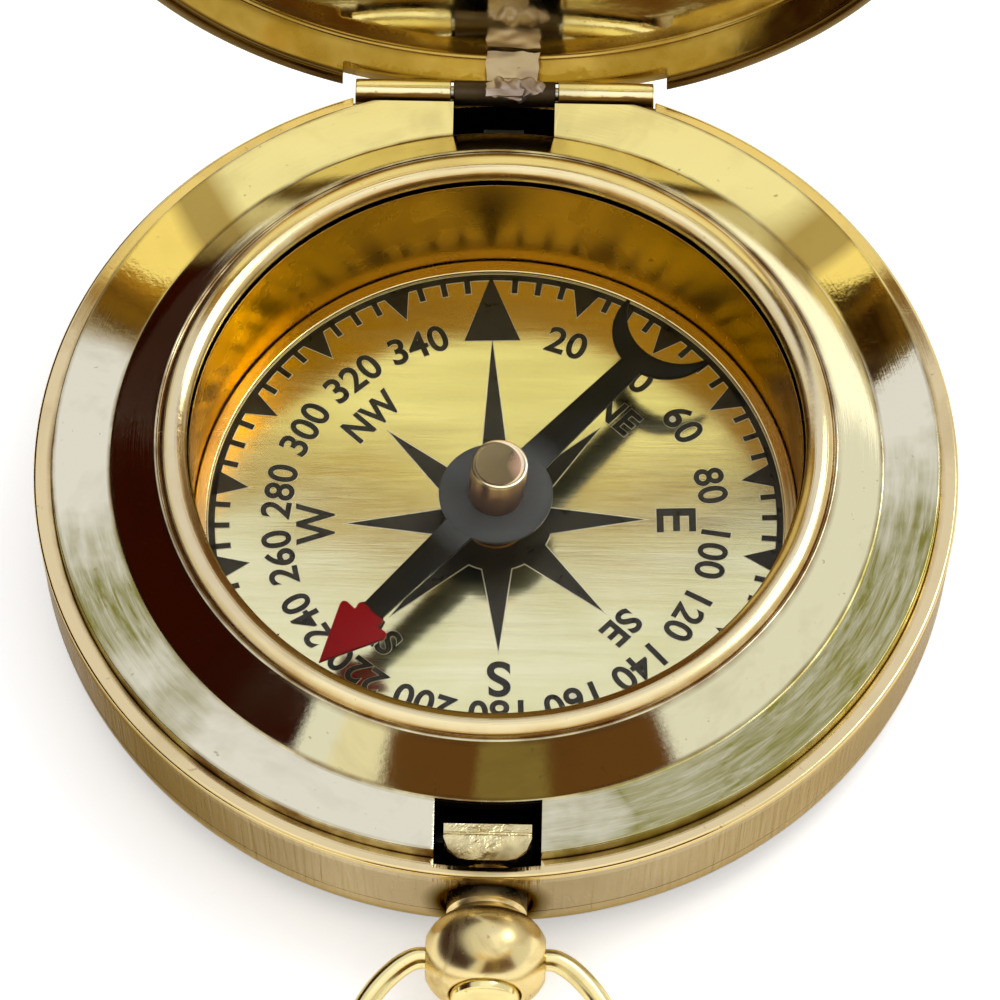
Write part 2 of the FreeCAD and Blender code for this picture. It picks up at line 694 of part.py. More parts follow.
NODES = {
    "case_body": case_body(),
    "cover_ring": cover_ring(),
    "compass_cell": compass_cell(),
    "bezel_ring": bezel_ring(),
    "glass": glass(),
    "dial": dial(),
    "dial_retaining_ring": dial_retaining_ring(),
    "pivot_base": pivot_base(),
    "pivot_pin": pivot_pin(),
    "needle_blade": needle_blade(),
    "needle_cap": needle_cap(),
    "cap_jewel": cap_jewel(),
    "hinge_knuckle_left": case_knuckle(-HINGE_HALF_LENGTH, -CASE_KNUCKLE_X),
    "hinge_knuckle_right": case_knuckle(CASE_KNUCKLE_X, HINGE_HALF_LENGTH),
    "hinge_pin": hinge_pin(),
    "lid_shell": lid_shell(),
    "lid_knuckle": lid_knuckle(),
    "lid_kicker": lid_kicker(),
    "latch_catch": latch_catch(),
    "pendant": pendant(),
    "push_button": push_button(),
    "bow": bow(),
    "lift_spring": lift_spring(),
    "latch_spring": latch_spring(),
    "spring_screws": spring_screws(),
}

os.makedirs("parts", exist_ok=True)
for name, shape in NODES.items():
    solids = shape.Solids
    sound = all(solid.isValid() and solid.Volume > 0 for solid in solids)
    print(f"{name:22s} solids {len(solids)} sound {sound} volume {shape.Volume:9.3f}")
    shape.exportStep(f"parts/{name}.step")
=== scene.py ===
import json
import math
from math import cos, radians, sin, sqrt

import bmesh
import bpy
from mathutils import Matrix, Vector, noise


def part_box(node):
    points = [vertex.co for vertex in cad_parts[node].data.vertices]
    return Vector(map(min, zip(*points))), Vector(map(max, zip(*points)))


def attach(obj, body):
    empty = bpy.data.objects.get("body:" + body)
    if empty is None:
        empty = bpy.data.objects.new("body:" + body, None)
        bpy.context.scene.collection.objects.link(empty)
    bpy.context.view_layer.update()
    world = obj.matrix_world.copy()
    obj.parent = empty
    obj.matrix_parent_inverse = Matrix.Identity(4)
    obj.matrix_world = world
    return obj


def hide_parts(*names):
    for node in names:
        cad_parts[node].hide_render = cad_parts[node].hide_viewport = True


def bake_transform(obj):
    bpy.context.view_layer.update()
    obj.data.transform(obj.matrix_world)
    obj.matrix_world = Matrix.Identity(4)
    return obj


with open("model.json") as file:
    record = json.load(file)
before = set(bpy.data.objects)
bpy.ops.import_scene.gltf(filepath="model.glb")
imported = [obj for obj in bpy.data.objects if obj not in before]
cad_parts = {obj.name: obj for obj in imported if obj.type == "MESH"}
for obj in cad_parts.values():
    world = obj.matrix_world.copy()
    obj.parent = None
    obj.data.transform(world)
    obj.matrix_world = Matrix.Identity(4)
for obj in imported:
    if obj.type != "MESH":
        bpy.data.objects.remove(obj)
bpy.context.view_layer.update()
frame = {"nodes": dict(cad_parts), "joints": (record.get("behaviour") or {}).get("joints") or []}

MM = 0.001
JOINTS = {joint["name"]: joint for joint in frame["joints"]}


# ---- places from the frame, in millimetres
def corners(node):
    """The lowest and the highest corner of a node."""
    low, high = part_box(node)
    return low / MM, high / MM


def reach(node):
    """Radius, lowest and highest height of a turned node that stands on the dial's axis."""
    low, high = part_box(node)
    return high.x / MM, low.z / MM, high.z / MM


CASE_R, CASE_LOW, LEDGE_Z = reach("case_body")
COVER_R = reach("cover_ring")[0]
CONE_TOP_Z = reach("cover_ring")[2]
CELL_LOW = reach("compass_cell")[1]
GLASS_TOP = reach("glass")[2]
BEZEL_R, BEZEL_LOW, BEZEL_TOP = reach("bezel_ring")
DIAL_R, DIAL_LOW, DIAL_Z = reach("dial")
RETAINER_R, RETAINER_LOW, RETAINER_TOP = reach("dial_retaining_ring")
CAP_R, CAP_LOW, CAP_TOP = reach("needle_cap")
COLLAR_R, COLLAR_LOW, COLLAR_TOP = reach("pivot_base")
NEEDLE_LOW, BOSS_TOP = reach("needle_blade")[1:]
HINGE = Vector(JOINTS["lid_hinge"]["pos_m"])
HINGE_Y = HINGE.y / MM
HINGE_Z = HINGE.z / MM
BOW_PIVOT = Vector(JOINTS["bow_swing"]["pos_m"])
BALL_Y = BOW_PIVOT.y / MM
BALL_Z = BOW_PIVOT.z / MM
LID_OPEN = radians(JOINTS["lid_hinge"]["range_deg"][1])

# sizes that the frame's boxes don't give
CORNER_R = 3.6
CASE_FOOT_R = 24.7
CASE_BORE_R = 24.0
CASE_FLOOR = 0.9
FLANGE_Z = 8.9
CONE_FOOT_R = 20.86
CONE_LIP_R = 18.42
COVER_FOOT_Z = 6.4
COVER_UNDER_Z = 8.1
OPENING_R = 16.68
CELL_OUTER_R = 17.3
CELL_BORE_R = 16.5
GLASS_LOW = 10.45
GLASS_R = 17.25
HINGE_SLOT = 5.56
HINGE_SEAT_HALF = 8.3
CATCH_SLOT = 5.74
BARREL_R = 0.70
KNUCKLE_FOOT_HALF = 0.496
PENDANT_NECK_R = 2.15
SOLDERED_R = 2.5
STEM_BORE_R = 1.3
STEM_R = 1.25
BUTTON_R = 1.85
BALL_R = 3.43
LID_BORE_R = 24.1
LID_RIM_Z = 8.22
LID_WALL_Z = 11.0
LID_SHOULDER_R = 1.3
LID_DOME_FOOT_R = 23.8
LID_NOTCH_HALF = 8.9
NEEDLE_BEARING = 221.2
BOSS_R = 3.1
BOSS_BORE_R = 1.3
DIAL_BORE_R = 1.06
DIAL_TURN = -2.1
SCALE_R = 15.66
STAR_HUB_R = 3.05
LUG_OFFSET = 0.4
LUG_HALF = 1.45
CAP_LEAN = 4.0
BOW_WIRE_R = 0.6
BOW_RING_CENTRE = 6.25
BOW_END_X = 2.3
EDGE_LIFT = 0.012
INK_LIFT = 0.024
LUMP_SEED = 1794879306


# ---- mesh helpers
def arc(centre, radius, start, end, steps):
    """Points on a circle in the plane, with the angles in degrees."""
    angles = [radians(start + (end - start) * i / steps) for i in range(steps + 1)]
    return [(centre[0] + radius * cos(a), centre[1] + radius * sin(a)) for a in angles]


def tube_outline(inner, outer, low, high):
    """The section of a plain ring, as (radius, height)."""
    return [(inner, low), (outer, low), (outer, high), (inner, high)]


def softened(outline, radius):
    """A closed outline with its corners rounded and a guard point beside each rounding."""
    points = []
    count = len(outline)
    for i, corner in enumerate(outline):
        here = Vector(corner)
        before = Vector(outline[i - 1]) - here
        after = Vector(outline[(i + 1) % count]) - here
        turn = before.angle(after)
        if turn > radians(165) or here.x < 1e-6:
            points.append(tuple(here))
            continue
        cut = min(radius, 0.4 * before.length, 0.4 * after.length)
        first = here + before.normalized() * cut
        last = here + after.normalized() * cut
        guard = 0.25 * cut
        points.append(tuple(first + before.normalized() * guard))
        for t in (0, 1 / 3, 2 / 3, 1):
            points.append(tuple((1 - t) ** 2 * first + 2 * t * (1 - t) * here + t * t * last))
        points.append(tuple(last + after.normalized() * guard))
    return points


def linked(name, mesh):
    """An object in the scene that shows a mesh."""
    piece = bpy.data.objects.new(name, mesh)
    bpy.context.scene.collection.objects.link(piece)
    return piece


def finished(name, bm, sharp=35):
    """A named object from a bmesh drawn in millimetres, smooth except at its sharp edges."""
    bmesh.ops.remove_doubles(bm, verts=bm.verts, dist=1e-5)
    bmesh.ops.recalc_face_normals(bm, faces=bm.faces)
    mesh = bpy.data.meshes.new(name)
    bm.to_mesh(mesh)
    bm.free()
    mesh.transform(Matrix.Scale(MM, 4))
    mesh.shade_smooth()
    mesh.set_sharp_from_angle(angle=radians(sharp))
    return linked(name, mesh)


def lathe(name, outline, segments=256, sharp=35):
    """A solid of revolution about Z from a closed outline of (radius, height) in millimetres."""
    bm = bmesh.new()
    rings = []
    angles = [2 * math.pi * i / segments for i in range(segments)]
    for radius, height in outline:
        if radius < 1e-6:
            rings.append([bm.verts.new((0, 0, height))] * segments)
            continue
        rings.append([bm.verts.new((radius * cos(a), radius * sin(a), height)) for a in angles])
    for k, ring in enumerate(rings):
        above = rings[(k + 1) % len(rings)]
        for i in range(segments):
            j = (i + 1) % segments
            face = list(dict.fromkeys([ring[i], ring[j], above[j], above[i]]))
            if len(face) > 2:
                bm.faces.new(face)
    return finished(name, bm, sharp)


def slab(name, outline, low, high, bevel=0.0):
    """A flat plate between two heights from an outline of (x, y) in millimetres."""
    bm = bmesh.new()
    face = bm.faces.new([bm.verts.new((x, y, low)) for x, y in outline])
    raised = bmesh.ops.extrude_face_region(bm, geom=[face])
    moved = [item for item in raised["geom"] if isinstance(item, bmesh.types.BMVert)]
    bmesh.ops.translate(bm, verts=moved, vec=(0, 0, high - low))
    if bevel:
        rims = [e for e in bm.edges if abs(e.verts[0].co.z - e.verts[1].co.z) < 1e-6]
        bmesh.ops.bevel(bm, geom=rims, offset=bevel, segments=2, affect="EDGES", profile=0.6)
    return finished(name, bm, 50)


def block(low, high):
    """A cutter from corner to corner, in millimetres."""
    bm = bmesh.new()
    bmesh.ops.create_cube(bm, size=1)
    size = Vector(high) - Vector(low)
    centre = (Vector(high) + Vector(low)) / 2
    bmesh.ops.transform(bm, matrix=Matrix.Translation(centre) @ Matrix.Diagonal((*size, 1)), verts=bm.verts)
    return finished("cutter", bm)


def drum(radius, start, end, segments=64):
    """A cutter of round section from point to point, in millimetres."""
    bm = bmesh.new()
    span = Vector(end) - Vector(start)
    middle = Matrix.Translation((Vector(start) + Vector(end)) / 2)
    place = middle @ span.to_track_quat("Z", "Y").to_matrix().to_4x4()
    bmesh.ops.create_cone(
        bm, cap_ends=True, segments=segments, radius1=radius, radius2=radius, depth=span.length, matrix=place)
    return finished("cutter", bm)


def turned_to(piece, matrix):
    """Moves a piece's mesh, so that its object stays at the origin."""
    piece.data.transform(matrix)
    return piece


def prism(outline, half):
    """An outline of (y, z) swept along X from -half to half, in millimetres."""
    turn = Matrix(((0, 0, 1, 0), (1, 0, 0, 0), (0, 1, 0, 0), (0, 0, 0, 1)))
    return turned_to(slab("cutter", outline, -half, half), turn)


def carve(piece, *cutters, bevel=0.05):
    """Cuts the cutters out of a piece, then eases the edges that the cuts leave."""
    for cutter in cutters:
        cut = piece.modifiers.new("cut", "BOOLEAN")
        cut.object = cutter
        cut.solver = "EXACT"
    if bevel:
        ease = piece.modifiers.new("ease", "BEVEL")
        ease.width = bevel * MM
        ease.segments = 2
        ease.limit_method = "ANGLE"
        ease.angle_limit = radians(50)
        even = piece.modifiers.new("even", "WEIGHTED_NORMAL")
        even.keep_sharp = True
    bpy.context.view_layer.update()
    graph = bpy.context.evaluated_depsgraph_get()
    made = bpy.data.meshes.new_from_object(piece.evaluated_get(graph), depsgraph=graph)
    piece.modifiers.clear()
    piece.data = made
    for cutter in cutters:
        bpy.data.objects.remove(cutter)
    return piece


def front_room(radius, low, high, half):
    """A cutter: the front of a disc, as wide as half to each side."""
    disc = drum(radius, (0, 0, low), (0, 0, high), 256)
    return carve(disc, block((-30, -20, 7), (30, 30, 10)), block((-30, -30, 7), (-half, 30, 10)),
                 block((half, -30, 7), (30, 30, 10)), bevel=0)


def merged(name, pieces):
    """One object from several, keeping each one's place."""
    bm = bmesh.new()
    for piece in pieces:
        piece.data.transform(piece.matrix_world)
        bm.from_mesh(piece.data)
        bpy.data.objects.remove(piece)
    mesh = bpy.data.meshes.new(name)
    bm.to_mesh(mesh)
    bm.free()
    return linked(name, mesh)


def from_curve(name, curve, matrix):
    """A mesh object from a curve or a text, in the curve's own units before the matrix."""
    holder = linked(name, curve)
    bpy.context.view_layer.update()
    mesh = bpy.data.meshes.new_from_object(holder.evaluated_get(bpy.context.evaluated_depsgraph_get()))
    bpy.data.objects.remove(holder)
    mesh.transform(matrix)
    return linked(name, mesh)


def lumpy(piece, size, height, seed):
    """Pushes a mesh's vertices about by noise, both sizes in millimetres, the same way at each run."""
    noise.seed_set(LUMP_SEED)
    shift = Vector((seed, 2 * seed, 3 * seed))
    for vertex in piece.data.vertices:
        vertex.co += noise.noise_vector(vertex.co / (size * MM) + shift) * height * MM
    return piece


def about(point, axis, angle):
    """A turn about an axis through a point."""
    return Matrix.Translation(point) @ Matrix.Rotation(angle, 4, axis) @ Matrix.Translation(-point)


def painted(piece, material):
    piece.data.materials.clear()
    piece.data.materials.append(material)


def fitted(piece, body, material, slot, *nodes):
    """Dresses a piece, puts it on its body and hides the CAD nodes it stands for."""
    painted(piece, material)
    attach(piece, body)
    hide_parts(*nodes)


# ---- material helpers
class Nodes:
    """Short names for building a node tree."""

    def __init__(self, tree):
        self.tree = tree

    def node(self, kind, inputs=None, **settings):
        made = self.tree.nodes.new(kind)
        for key, value in settings.items():
            setattr(made, key, value)
        for key, value in (inputs or {}).items():
            self.feed(made.inputs[key], value)
        return made

    def feed(self, socket, value):
        """Links a socket to another, or sets it to a number, or to a colour of three numbers."""
        if isinstance(value, bpy.types.NodeSocket):
            self.tree.links.new(value, socket)
        elif socket.type == "RGBA":
            socket.default_value = (*value[:3], 1)
        else:
            socket.default_value = value

    def maths(self, operation, a, b=0.0, clamp=False):
        made = self.node("ShaderNodeMath", {0: a, 1: b}, operation=operation)
        made.use_clamp = clamp
        return made.outputs[0]

    def plus(self, a, b, clamp=False):
        return self.maths("ADD", a, b, clamp)

    def minus(self, a, b):
        return self.maths("SUBTRACT", a, b)

    def times(self, a, b):
        return self.maths("MULTIPLY", a, b)

    def most(self, a, b):
        return self.maths("MAXIMUM", a, b)

    def far(self, a, b=0.0):
        """How far a value is from another."""
        return self.maths("ABSOLUTE", self.minus(a, b))

    def length(self, a, b):
        return self.maths("SQRT", self.plus(self.times(a, a), self.times(b, b)))

    def mix(self, share, a, b):
        made = self.node("ShaderNodeMix", data_type="RGBA")
        self.feed(made.inputs["Factor"], share)
        self.feed(made.inputs[6], a)
        self.feed(made.inputs[7], b)
        return made.outputs[2]


class Recipe(Nodes):
    """A material in the making. Its x, y, z and radius are in millimetres, its bearing in turns."""

    def __init__(self, name, opened=False):
        self.material = bpy.data.materials.new(name)
        self.material.use_nodes = True
        super().__init__(self.material.node_tree)
        self.shader = self.tree.nodes["Principled BSDF"]
        self.place = self.node("ShaderNodeTexCoord").outputs["Object"]
        if opened:
            shut = Matrix.Rotation(LID_OPEN, 4, "X")
            self.place = self.node("ShaderNodeMapping", {
                "Vector": self.place, "Rotation": (LID_OPEN, 0, 0),
                "Location": HINGE - shut @ HINGE}).outputs[0]

    def locate(self):
        """Works out where on the compass the shaded point is."""
        spread = self.node("ShaderNodeVectorMath", {0: self.place, "Scale": 1 / MM}, operation="SCALE")
        self.x, self.y, self.z = self.node("ShaderNodeSeparateXYZ", {0: spread.outputs[0]}).outputs
        self.radius = self.length(self.x, self.y)
        self.bearing = self.maths("DIVIDE", self.maths("ARCTAN2", self.x, self.y), 2 * math.pi)

    def stretched(self, scale):
        """The object's coordinates with each axis scaled."""
        return self.node("ShaderNodeMapping", {"Vector": self.place, "Scale": scale}).outputs[0]

    def turned(self, out, round_it, up):
        """Coordinates that follow the turned shape, from scales per millimetre and per turn."""
        return self.node("ShaderNodeCombineXYZ", {
            0: self.times(self.radius, out), 1: self.times(self.bearing, round_it),
            2: self.times(self.z, up)}).outputs[0]

    def noise(self, scale, detail=3.0, roughness=0.55, distortion=0.0, place=None):
        inputs = {"Vector": place or self.place, "Scale": scale, "Detail": detail,
                  "Roughness": roughness, "Distortion": distortion}
        return self.node("ShaderNodeTexNoise", inputs).outputs["Fac"]

    def ramp(self, value, *stops):
        """Greys at stops along a value, each stop (position, grey)."""
        made = self.node("ShaderNodeValToRGB", {"Fac": value})
        band = made.color_ramp
        while len(band.elements) < len(stops):
            band.elements.new(0.5)
        for element, (position, grey) in zip(band.elements, stops):
            element.position = position
            element.color = (grey, grey, grey, 1)
        return made.outputs["Color"]

    def span(self, value, low, high, to_low=0.0, to_high=1.0):
        inputs = {"Value": value, "From Min": low, "From Max": high, "To Min": to_low, "To Max": to_high}
        return self.node("ShaderNodeMapRange", inputs).outputs["Result"]

    def under(self, value, full, none):
        """1 below full, falling to 0 at none."""
        return self.span(value, full, none, 1.0, 0.0)

    def frayed(self, value, most, *pattern):
        """A value pushed up and down by a noise, by no more than most."""
        return self.plus(value, self.span(self.noise(*pattern), 0.3, 0.7, -most, most))

    def bump(self, height, distance, normal=None):
        inputs = {"Height": height, "Distance": distance, "Strength": 1.0}
        if normal is not None:
            inputs["Normal"] = normal
        return self.node("ShaderNodeBump", inputs).outputs["Normal"]

    def surface(self, **inputs):
        for key, value in inputs.items():
            self.feed(self.shader.inputs[key.replace("_", " ")], value)
        return self.material


# ---- metals
class Metal(Recipe):
    """Brass, copper or solder, whose tint, roughness and relief each flaw adds to in turn."""

    def __init__(self, name, opened):
        super().__init__(name, opened)
        self.locate()
        self.normal = None

    def paint(self, share, colour):
        self.tint = self.mix(share, self.tint, colour)

    def dull(self, share, amount):
        self.rough = self.plus(self.rough, self.times(share, amount), clamp=True)

    def raise_up(self, height, distance):
        self.normal = self.bump(height, distance, self.normal)

    def tarnished(self, cloud, worn, grooves):
        """Where it is stained: in cloudy patches, specks and rings of (radius, width)."""
        patches = self.ramp(cloud, (0.0, 0.0), (0.5, 0.0), (0.8, 1.0))
        specks = self.ramp(self.noise(1900.0, 2.0, 0.5), (0.0, 0.0), (0.70, 0.0), (0.78, 1.0))
        stain = self.most(self.times(patches, worn), self.times(specks, 0.5))
        for centre, width in grooves:
            ring = self.under(self.far(self.radius, centre), 0.0, width)
            broken = self.span(self.noise(420.0, 3.0), 0.35, 0.65, 0.35, 1.0)
            stain = self.most(stain, self.times(ring, broken))
        return stain

    def scorched(self):
        """Where it is darker round the hinge."""
        away = self.length(self.minus(self.y, HINGE_Y), self.minus(self.z, HINGE_Z))
        return self.under(self.frayed(away, 0.6, 700.0, 4.0, 0.7), 1.3, 1.9)

    def blacken(self, radius, height):
        """Painted shade: black inside a radius and under a height, for the hollow under the cover."""
        inside = self.under(self.radius, radius - 0.1, radius)
        shaded = self.times(inside, self.under(self.z, height - 0.1, height))
        self.paint(shaded, (0.012, 0.008, 0.004))
        self.dull(shaded, 0.6)


def brass(name, colour, tarnish, gloss, lines=0.0, grooves=(), worn=0.35, waves=1.0, patch=130.0, pits=0.0,
          dark=None, flaws=(), relief=None, edge=(0.94, 0.84, 0.62), opened=False):
    """Hand-polished brass.

    lines, waves and pits are the depths of its turning marks, uneven polish and casting flaws. patch is how
    close its tarnished patches lie and worn how strong they are. dark is the (radius, height) inside and
    under which it is painted black, as painted shade. flaws and relief make the marks of one piece alone,
    among them painted shade and painted reflections. edge tints its glancing reflections. An opened piece is
    patterned as if it were shut, and darker round the hinge.
    """
    m = Metal(name, opened)
    cloud = m.noise(patch, 4.0, 0.6, 0.6)
    stain = m.tarnished(cloud, worn, grooves)
    if opened:
        # darker round the hinge
        stain = m.most(stain, m.scorched())
    m.tint = m.mix(stain, colour, tarnish)
    scratch = m.noise(90.0, 6.0, 0.75, 1.5, m.stretched((1.0, 14.0, 6.0)))
    scratch = m.ramp(scratch, (0.0, 0.0), (0.62, 0.0), (0.66, 1.0), (0.70, 0.0))
    m.rough = m.span(cloud, 0.3, 0.8, gloss * 0.7, gloss * 1.5)
    m.dull(scratch, 0.08)
    m.dull(stain, 0.25)
    for flaw in flaws:
        flaw(m)
    # dark paints the hollow black, as painted shade
    if dark:
        m.blacken(*dark)
    if waves:
        m.raise_up(m.noise(48.0, 2.0, 0.45, 0.3), 5.5e-4 * waves)
    if lines:
        m.raise_up(m.noise(1.0, 3.0, 0.7, place=m.turned(9.0, 3.0, 9.0)), 1e-5 * lines)
    if relief:
        relief(m)
    if pits:
        flaw_height = m.times(m.noise(1700.0, 3.0, 0.6), m.span(m.noise(330.0, 2.0), 0.42, 0.6))
        m.raise_up(flaw_height, 1e-4 * pits)
    m.raise_up(m.noise(2600.0, 3.0), 2e-6)
    return m.surface(Base_Color=m.tint, Metallic=1.0, Roughness=m.rough, Normal=m.normal, Specular_Tint=edge)


def lid_wear(m):
    """A golden inner wall, a brushed outside and a dark brown rim face."""
    fallen = m.plus(m.z, m.maths("DIVIDE", m.times(m.radius, m.radius), 252.0))
    outside = m.most(m.span(fallen, 13.4, 13.5), m.span(m.radius, 24.5, 24.6))
    wall = m.times(m.span(m.radius, 23.6, 23.9), m.minus(1.0, outside))
    m.paint(m.times(wall, 0.8), (0.50, 0.32, 0.045))
    m.paint(m.times(outside, 0.6), (0.70, 0.56, 0.27))
    # dark brown on the rim face, below 8.4 mm as shut
    m.paint(m.times(m.under(m.z, 8.4, 8.6), 0.85), (0.10, 0.05, 0.012))
    m.dull(outside, 0.24)


def on_flange(m):
    return m.span(m.radius, CONE_FOOT_R - 0.16, CONE_FOOT_R + 0.04)


def satin_patches(m):
    """Patches of the flange brushed rougher and painted dark olive as painted reflection, at bearings and
    half widths in degrees.
    """
    brushed = m.noise(1.0, 4.0, 0.7, 0.6, m.turned(2.6, 34.0, 0.0))
    bent = m.frayed(m.bearing, 0.02, 260.0, 3.0, 0.6)
    for centre, half in ((123, 31), (-117, 11), (160, 8)):
        share = m.under(m.far(bent, centre / 360), (half - 9) / 360, (half + 9) / 360)
        share = m.times(m.times(share, on_flange(m)), m.span(brushed, 0.32, 0.62, 0.40, 1.0))
        # painted reflection: dark olive over the brushed patches
        m.paint(share, (0.218, 0.194, 0.033))
        m.dull(share, 0.14)


def honey_patches(m):
    """Painted reflection of the lid's edge: patches of the flange beside the hinge, gold in the middle and
    brown at the ends.
    """
    bent = m.frayed(m.bearing, 0.012, 90.0, 1.0)
    for centre, half in ((56.5, 15), (-57, 15)):
        gap = m.far(bent, centre / 360)
        glow = m.mix(m.span(gap, half / 1400, half / 750), (0.86, 0.66, 0.20), (0.30, 0.19, 0.03))
        share = m.times(m.under(gap, (half - 2) / 360, (half + 2) / 360), on_flange(m))
        # painted reflection of the lid's edge
        m.paint(m.times(share, 0.8), glow)


def brown_seam(m):
    """Painted shade: the lower front of the hinge's barrels, brown."""
    fore = m.times(m.minus(HINGE_Y, m.y), 0.866)
    turn = m.plus(fore, m.times(m.minus(HINGE_Z, m.z), 0.5))
    turn = m.span(m.frayed(turn, 0.12, 500.0, 3.0), 0.0, 0.7)
    lower_shade = m.ramp(turn, (0.0, 0.0), (0.08, 0.0), (0.16, 0.85), (0.8, 1.0))
    # painted shade on the barrels' lower front
    m.paint(lower_shade, (0.28, 0.14, 0.025))
    m.dull(lower_shade, 0.15)


def case_wall(m):
    """The case's wall, duller than its rim and painted darker than it as painted shade, with brown painted
    shade on its left and near-black painted shade round the pendant.
    """
    wall = m.times(m.span(m.radius, 24.6, 24.7), m.under(m.z, 7.6, 7.8))
    # painted shade: a wall colour darker than the rim's, mottled at random
    shaded = m.mix(m.span(m.noise(55.0, 3.0, 0.6), 0.35, 0.65), (0.60, 0.49, 0.31), (0.432, 0.353, 0.223))
    # painted shade: brown down the wall's front left
    left_side_shade = m.under(m.far(m.bearing, -0.31), 0.06, 0.14)
    m.paint(wall, m.mix(m.times(left_side_shade, 0.8), shaded, (0.16, 0.10, 0.045)))
    m.dull(wall, 0.12)
    away = m.length(m.x, m.minus(m.z, BALL_Z))
    # painted shade: near-black in the recess round the pendant's neck
    neck_recess_shade = m.times(m.under(away, 2.6, 3.6), m.under(m.y, -23.6, -23.5))
    m.paint(neck_recess_shade, (0.05, 0.028, 0.010))


def knurled(m):
    """Fine marks down the case's wall."""
    marks = m.node("ShaderNodeCombineXYZ", {0: m.times(m.bearing, 520.0), 1: m.times(m.z, 0.12)}).outputs[0]
    m.raise_up(m.times(m.noise(1.0, 2.0, 0.5, 0.3, marks), m.under(m.z, 7.2, 7.8)), 1.2e-4)


TARNISH = (0.22, 0.12, 0.035)


def metals():
    return {
        "case": brass("brass_case", (0.76, 0.60, 0.29), TARNISH, 0.10, lines=0.6, grooves=((24.0, 0.35),),
                      dark=(23.95, 8.0), flaws=(case_wall,), relief=knurled, edge=(0.54, 0.44, 0.29)),
        "cover": brass("brass_cover", (0.78, 0.72, 0.47), (0.15, 0.075, 0.018), 0.055, lines=0.3,
                       grooves=((24.0, 0.25), (CONE_FOOT_R, 0.22), (18.3, 0.42)), dark=(23.97, 8.75),
                       flaws=(satin_patches, honey_patches)),
        "bezel": brass("brass_bezel", (0.75, 0.62, 0.34), (0.45, 0.24, 0.04), 0.10, lines=1.2,
                       grooves=((18.2, 0.55), (16.75, 0.3))),
        "lid": brass("brass_lid", (0.93, 0.85, 0.52), (0.16, 0.085, 0.008), 0.06, waves=2.6,
                     grooves=((24.0, 0.85),), flaws=(lid_wear,), opened=True),
        "fittings": brass("brass_fittings", (0.82, 0.70, 0.34), TARNISH, 0.16, waves=2.5),
        "barrel": brass("brass_barrel", (0.86, 0.76, 0.44), TARNISH, 0.22, waves=1.5, flaws=(brown_seam,)),
        "pendant": brass("brass_pendant", (0.76, 0.61, 0.29), (0.24, 0.13, 0.03), 0.24, waves=7.0, worn=1.0,
                         patch=250.0),
        "catch": brass("brass_catch", (0.80, 0.68, 0.36), (0.16, 0.10, 0.035), 0.16, waves=5.0, worn=0.9,
                       grooves=((24.6, 2.2), (24.0, 1.1), (25.3, 2.6)), pits=2.0),
        # painted shade: the cell's base is dark brown, darker than brass, for the shade inside the bezel
        "cell": brass("brass_cell", (0.34, 0.175, 0.025), (0.12, 0.06, 0.012), 0.24, lines=1.0, waves=0.9,
                      edge=(0.75, 0.55, 0.28)),
        "retainer": brass("brass_retainer", (0.80, 0.66, 0.34), TARNISH, 0.14, lines=1.0, waves=0.5),
        "copper": brass("bright_copper", (0.80, 0.48, 0.32), (0.25, 0.10, 0.06), 0.2, lines=1.0, waves=0.0),
        "solder": brass("solder", (0.62, 0.52, 0.46), (0.25, 0.17, 0.13), 0.38, waves=3.0, worn=0.8),
        # painted shade: the lid's middle knuckle is dark brown all over, for the shade it sits in
        "shaded_knuckle": brass("shaded_knuckle_brass", (0.10, 0.07, 0.04), (0.02, 0.01, 0.006), 0.40, waves=2.0, worn=0.9),
        "steel": steel("bright_steel", 0.50),
        "spring": steel("spring_steel", 0.03),
    }


def grained(name, scale, dark, light, rough, depth, **constants):
    """A material whose colour, roughness and relief follow one fine grain."""
    r = Recipe(name)
    grain = r.noise(scale, 3.0, 0.6)
    return r.surface(Base_Color=r.mix(grain, dark, light), Roughness=r.span(grain, 0.3, 0.7, *rough),
                     Normal=r.bump(grain, depth), **constants)


def steel(name, level):
    return grained(name, 900.0, (level, level, level), (1.25 * level, 1.22 * level, 1.15 * level),
                   (0.22, 0.38), 4e-6, Metallic=1.0)


def cap_metal():
    """A dull olive top inside a painted highlight on the rim, on a copper-brown side."""
    r = Recipe("cap_metal")
    r.locate()
    grain = r.noise(700.0, 4.0, 0.6)
    top = r.mix(grain, (0.125, 0.097, 0.045), (0.19, 0.145, 0.075))
    copper = r.mix(r.noise(500.0, 3.0, 0.5), (0.50, 0.27, 0.18), (0.85, 0.60, 0.42))
    high = r.span(r.z, CAP_TOP - 0.15, CAP_TOP - 0.11)
    # painted highlight: pale colour on the chamfered rim of the top
    rim = r.times(r.span(r.radius, 1.34, 1.38), r.span(r.z, CAP_TOP - 0.3, CAP_TOP - 0.2))
    tint = r.mix(rim, r.mix(high, copper, top), (0.88, 0.74, 0.52))
    return r.surface(Base_Color=tint, Metallic=1.0, Roughness=r.span(grain, 0.3, 0.7, 0.25, 0.4),
                     Normal=r.bump(grain, 4e-6))


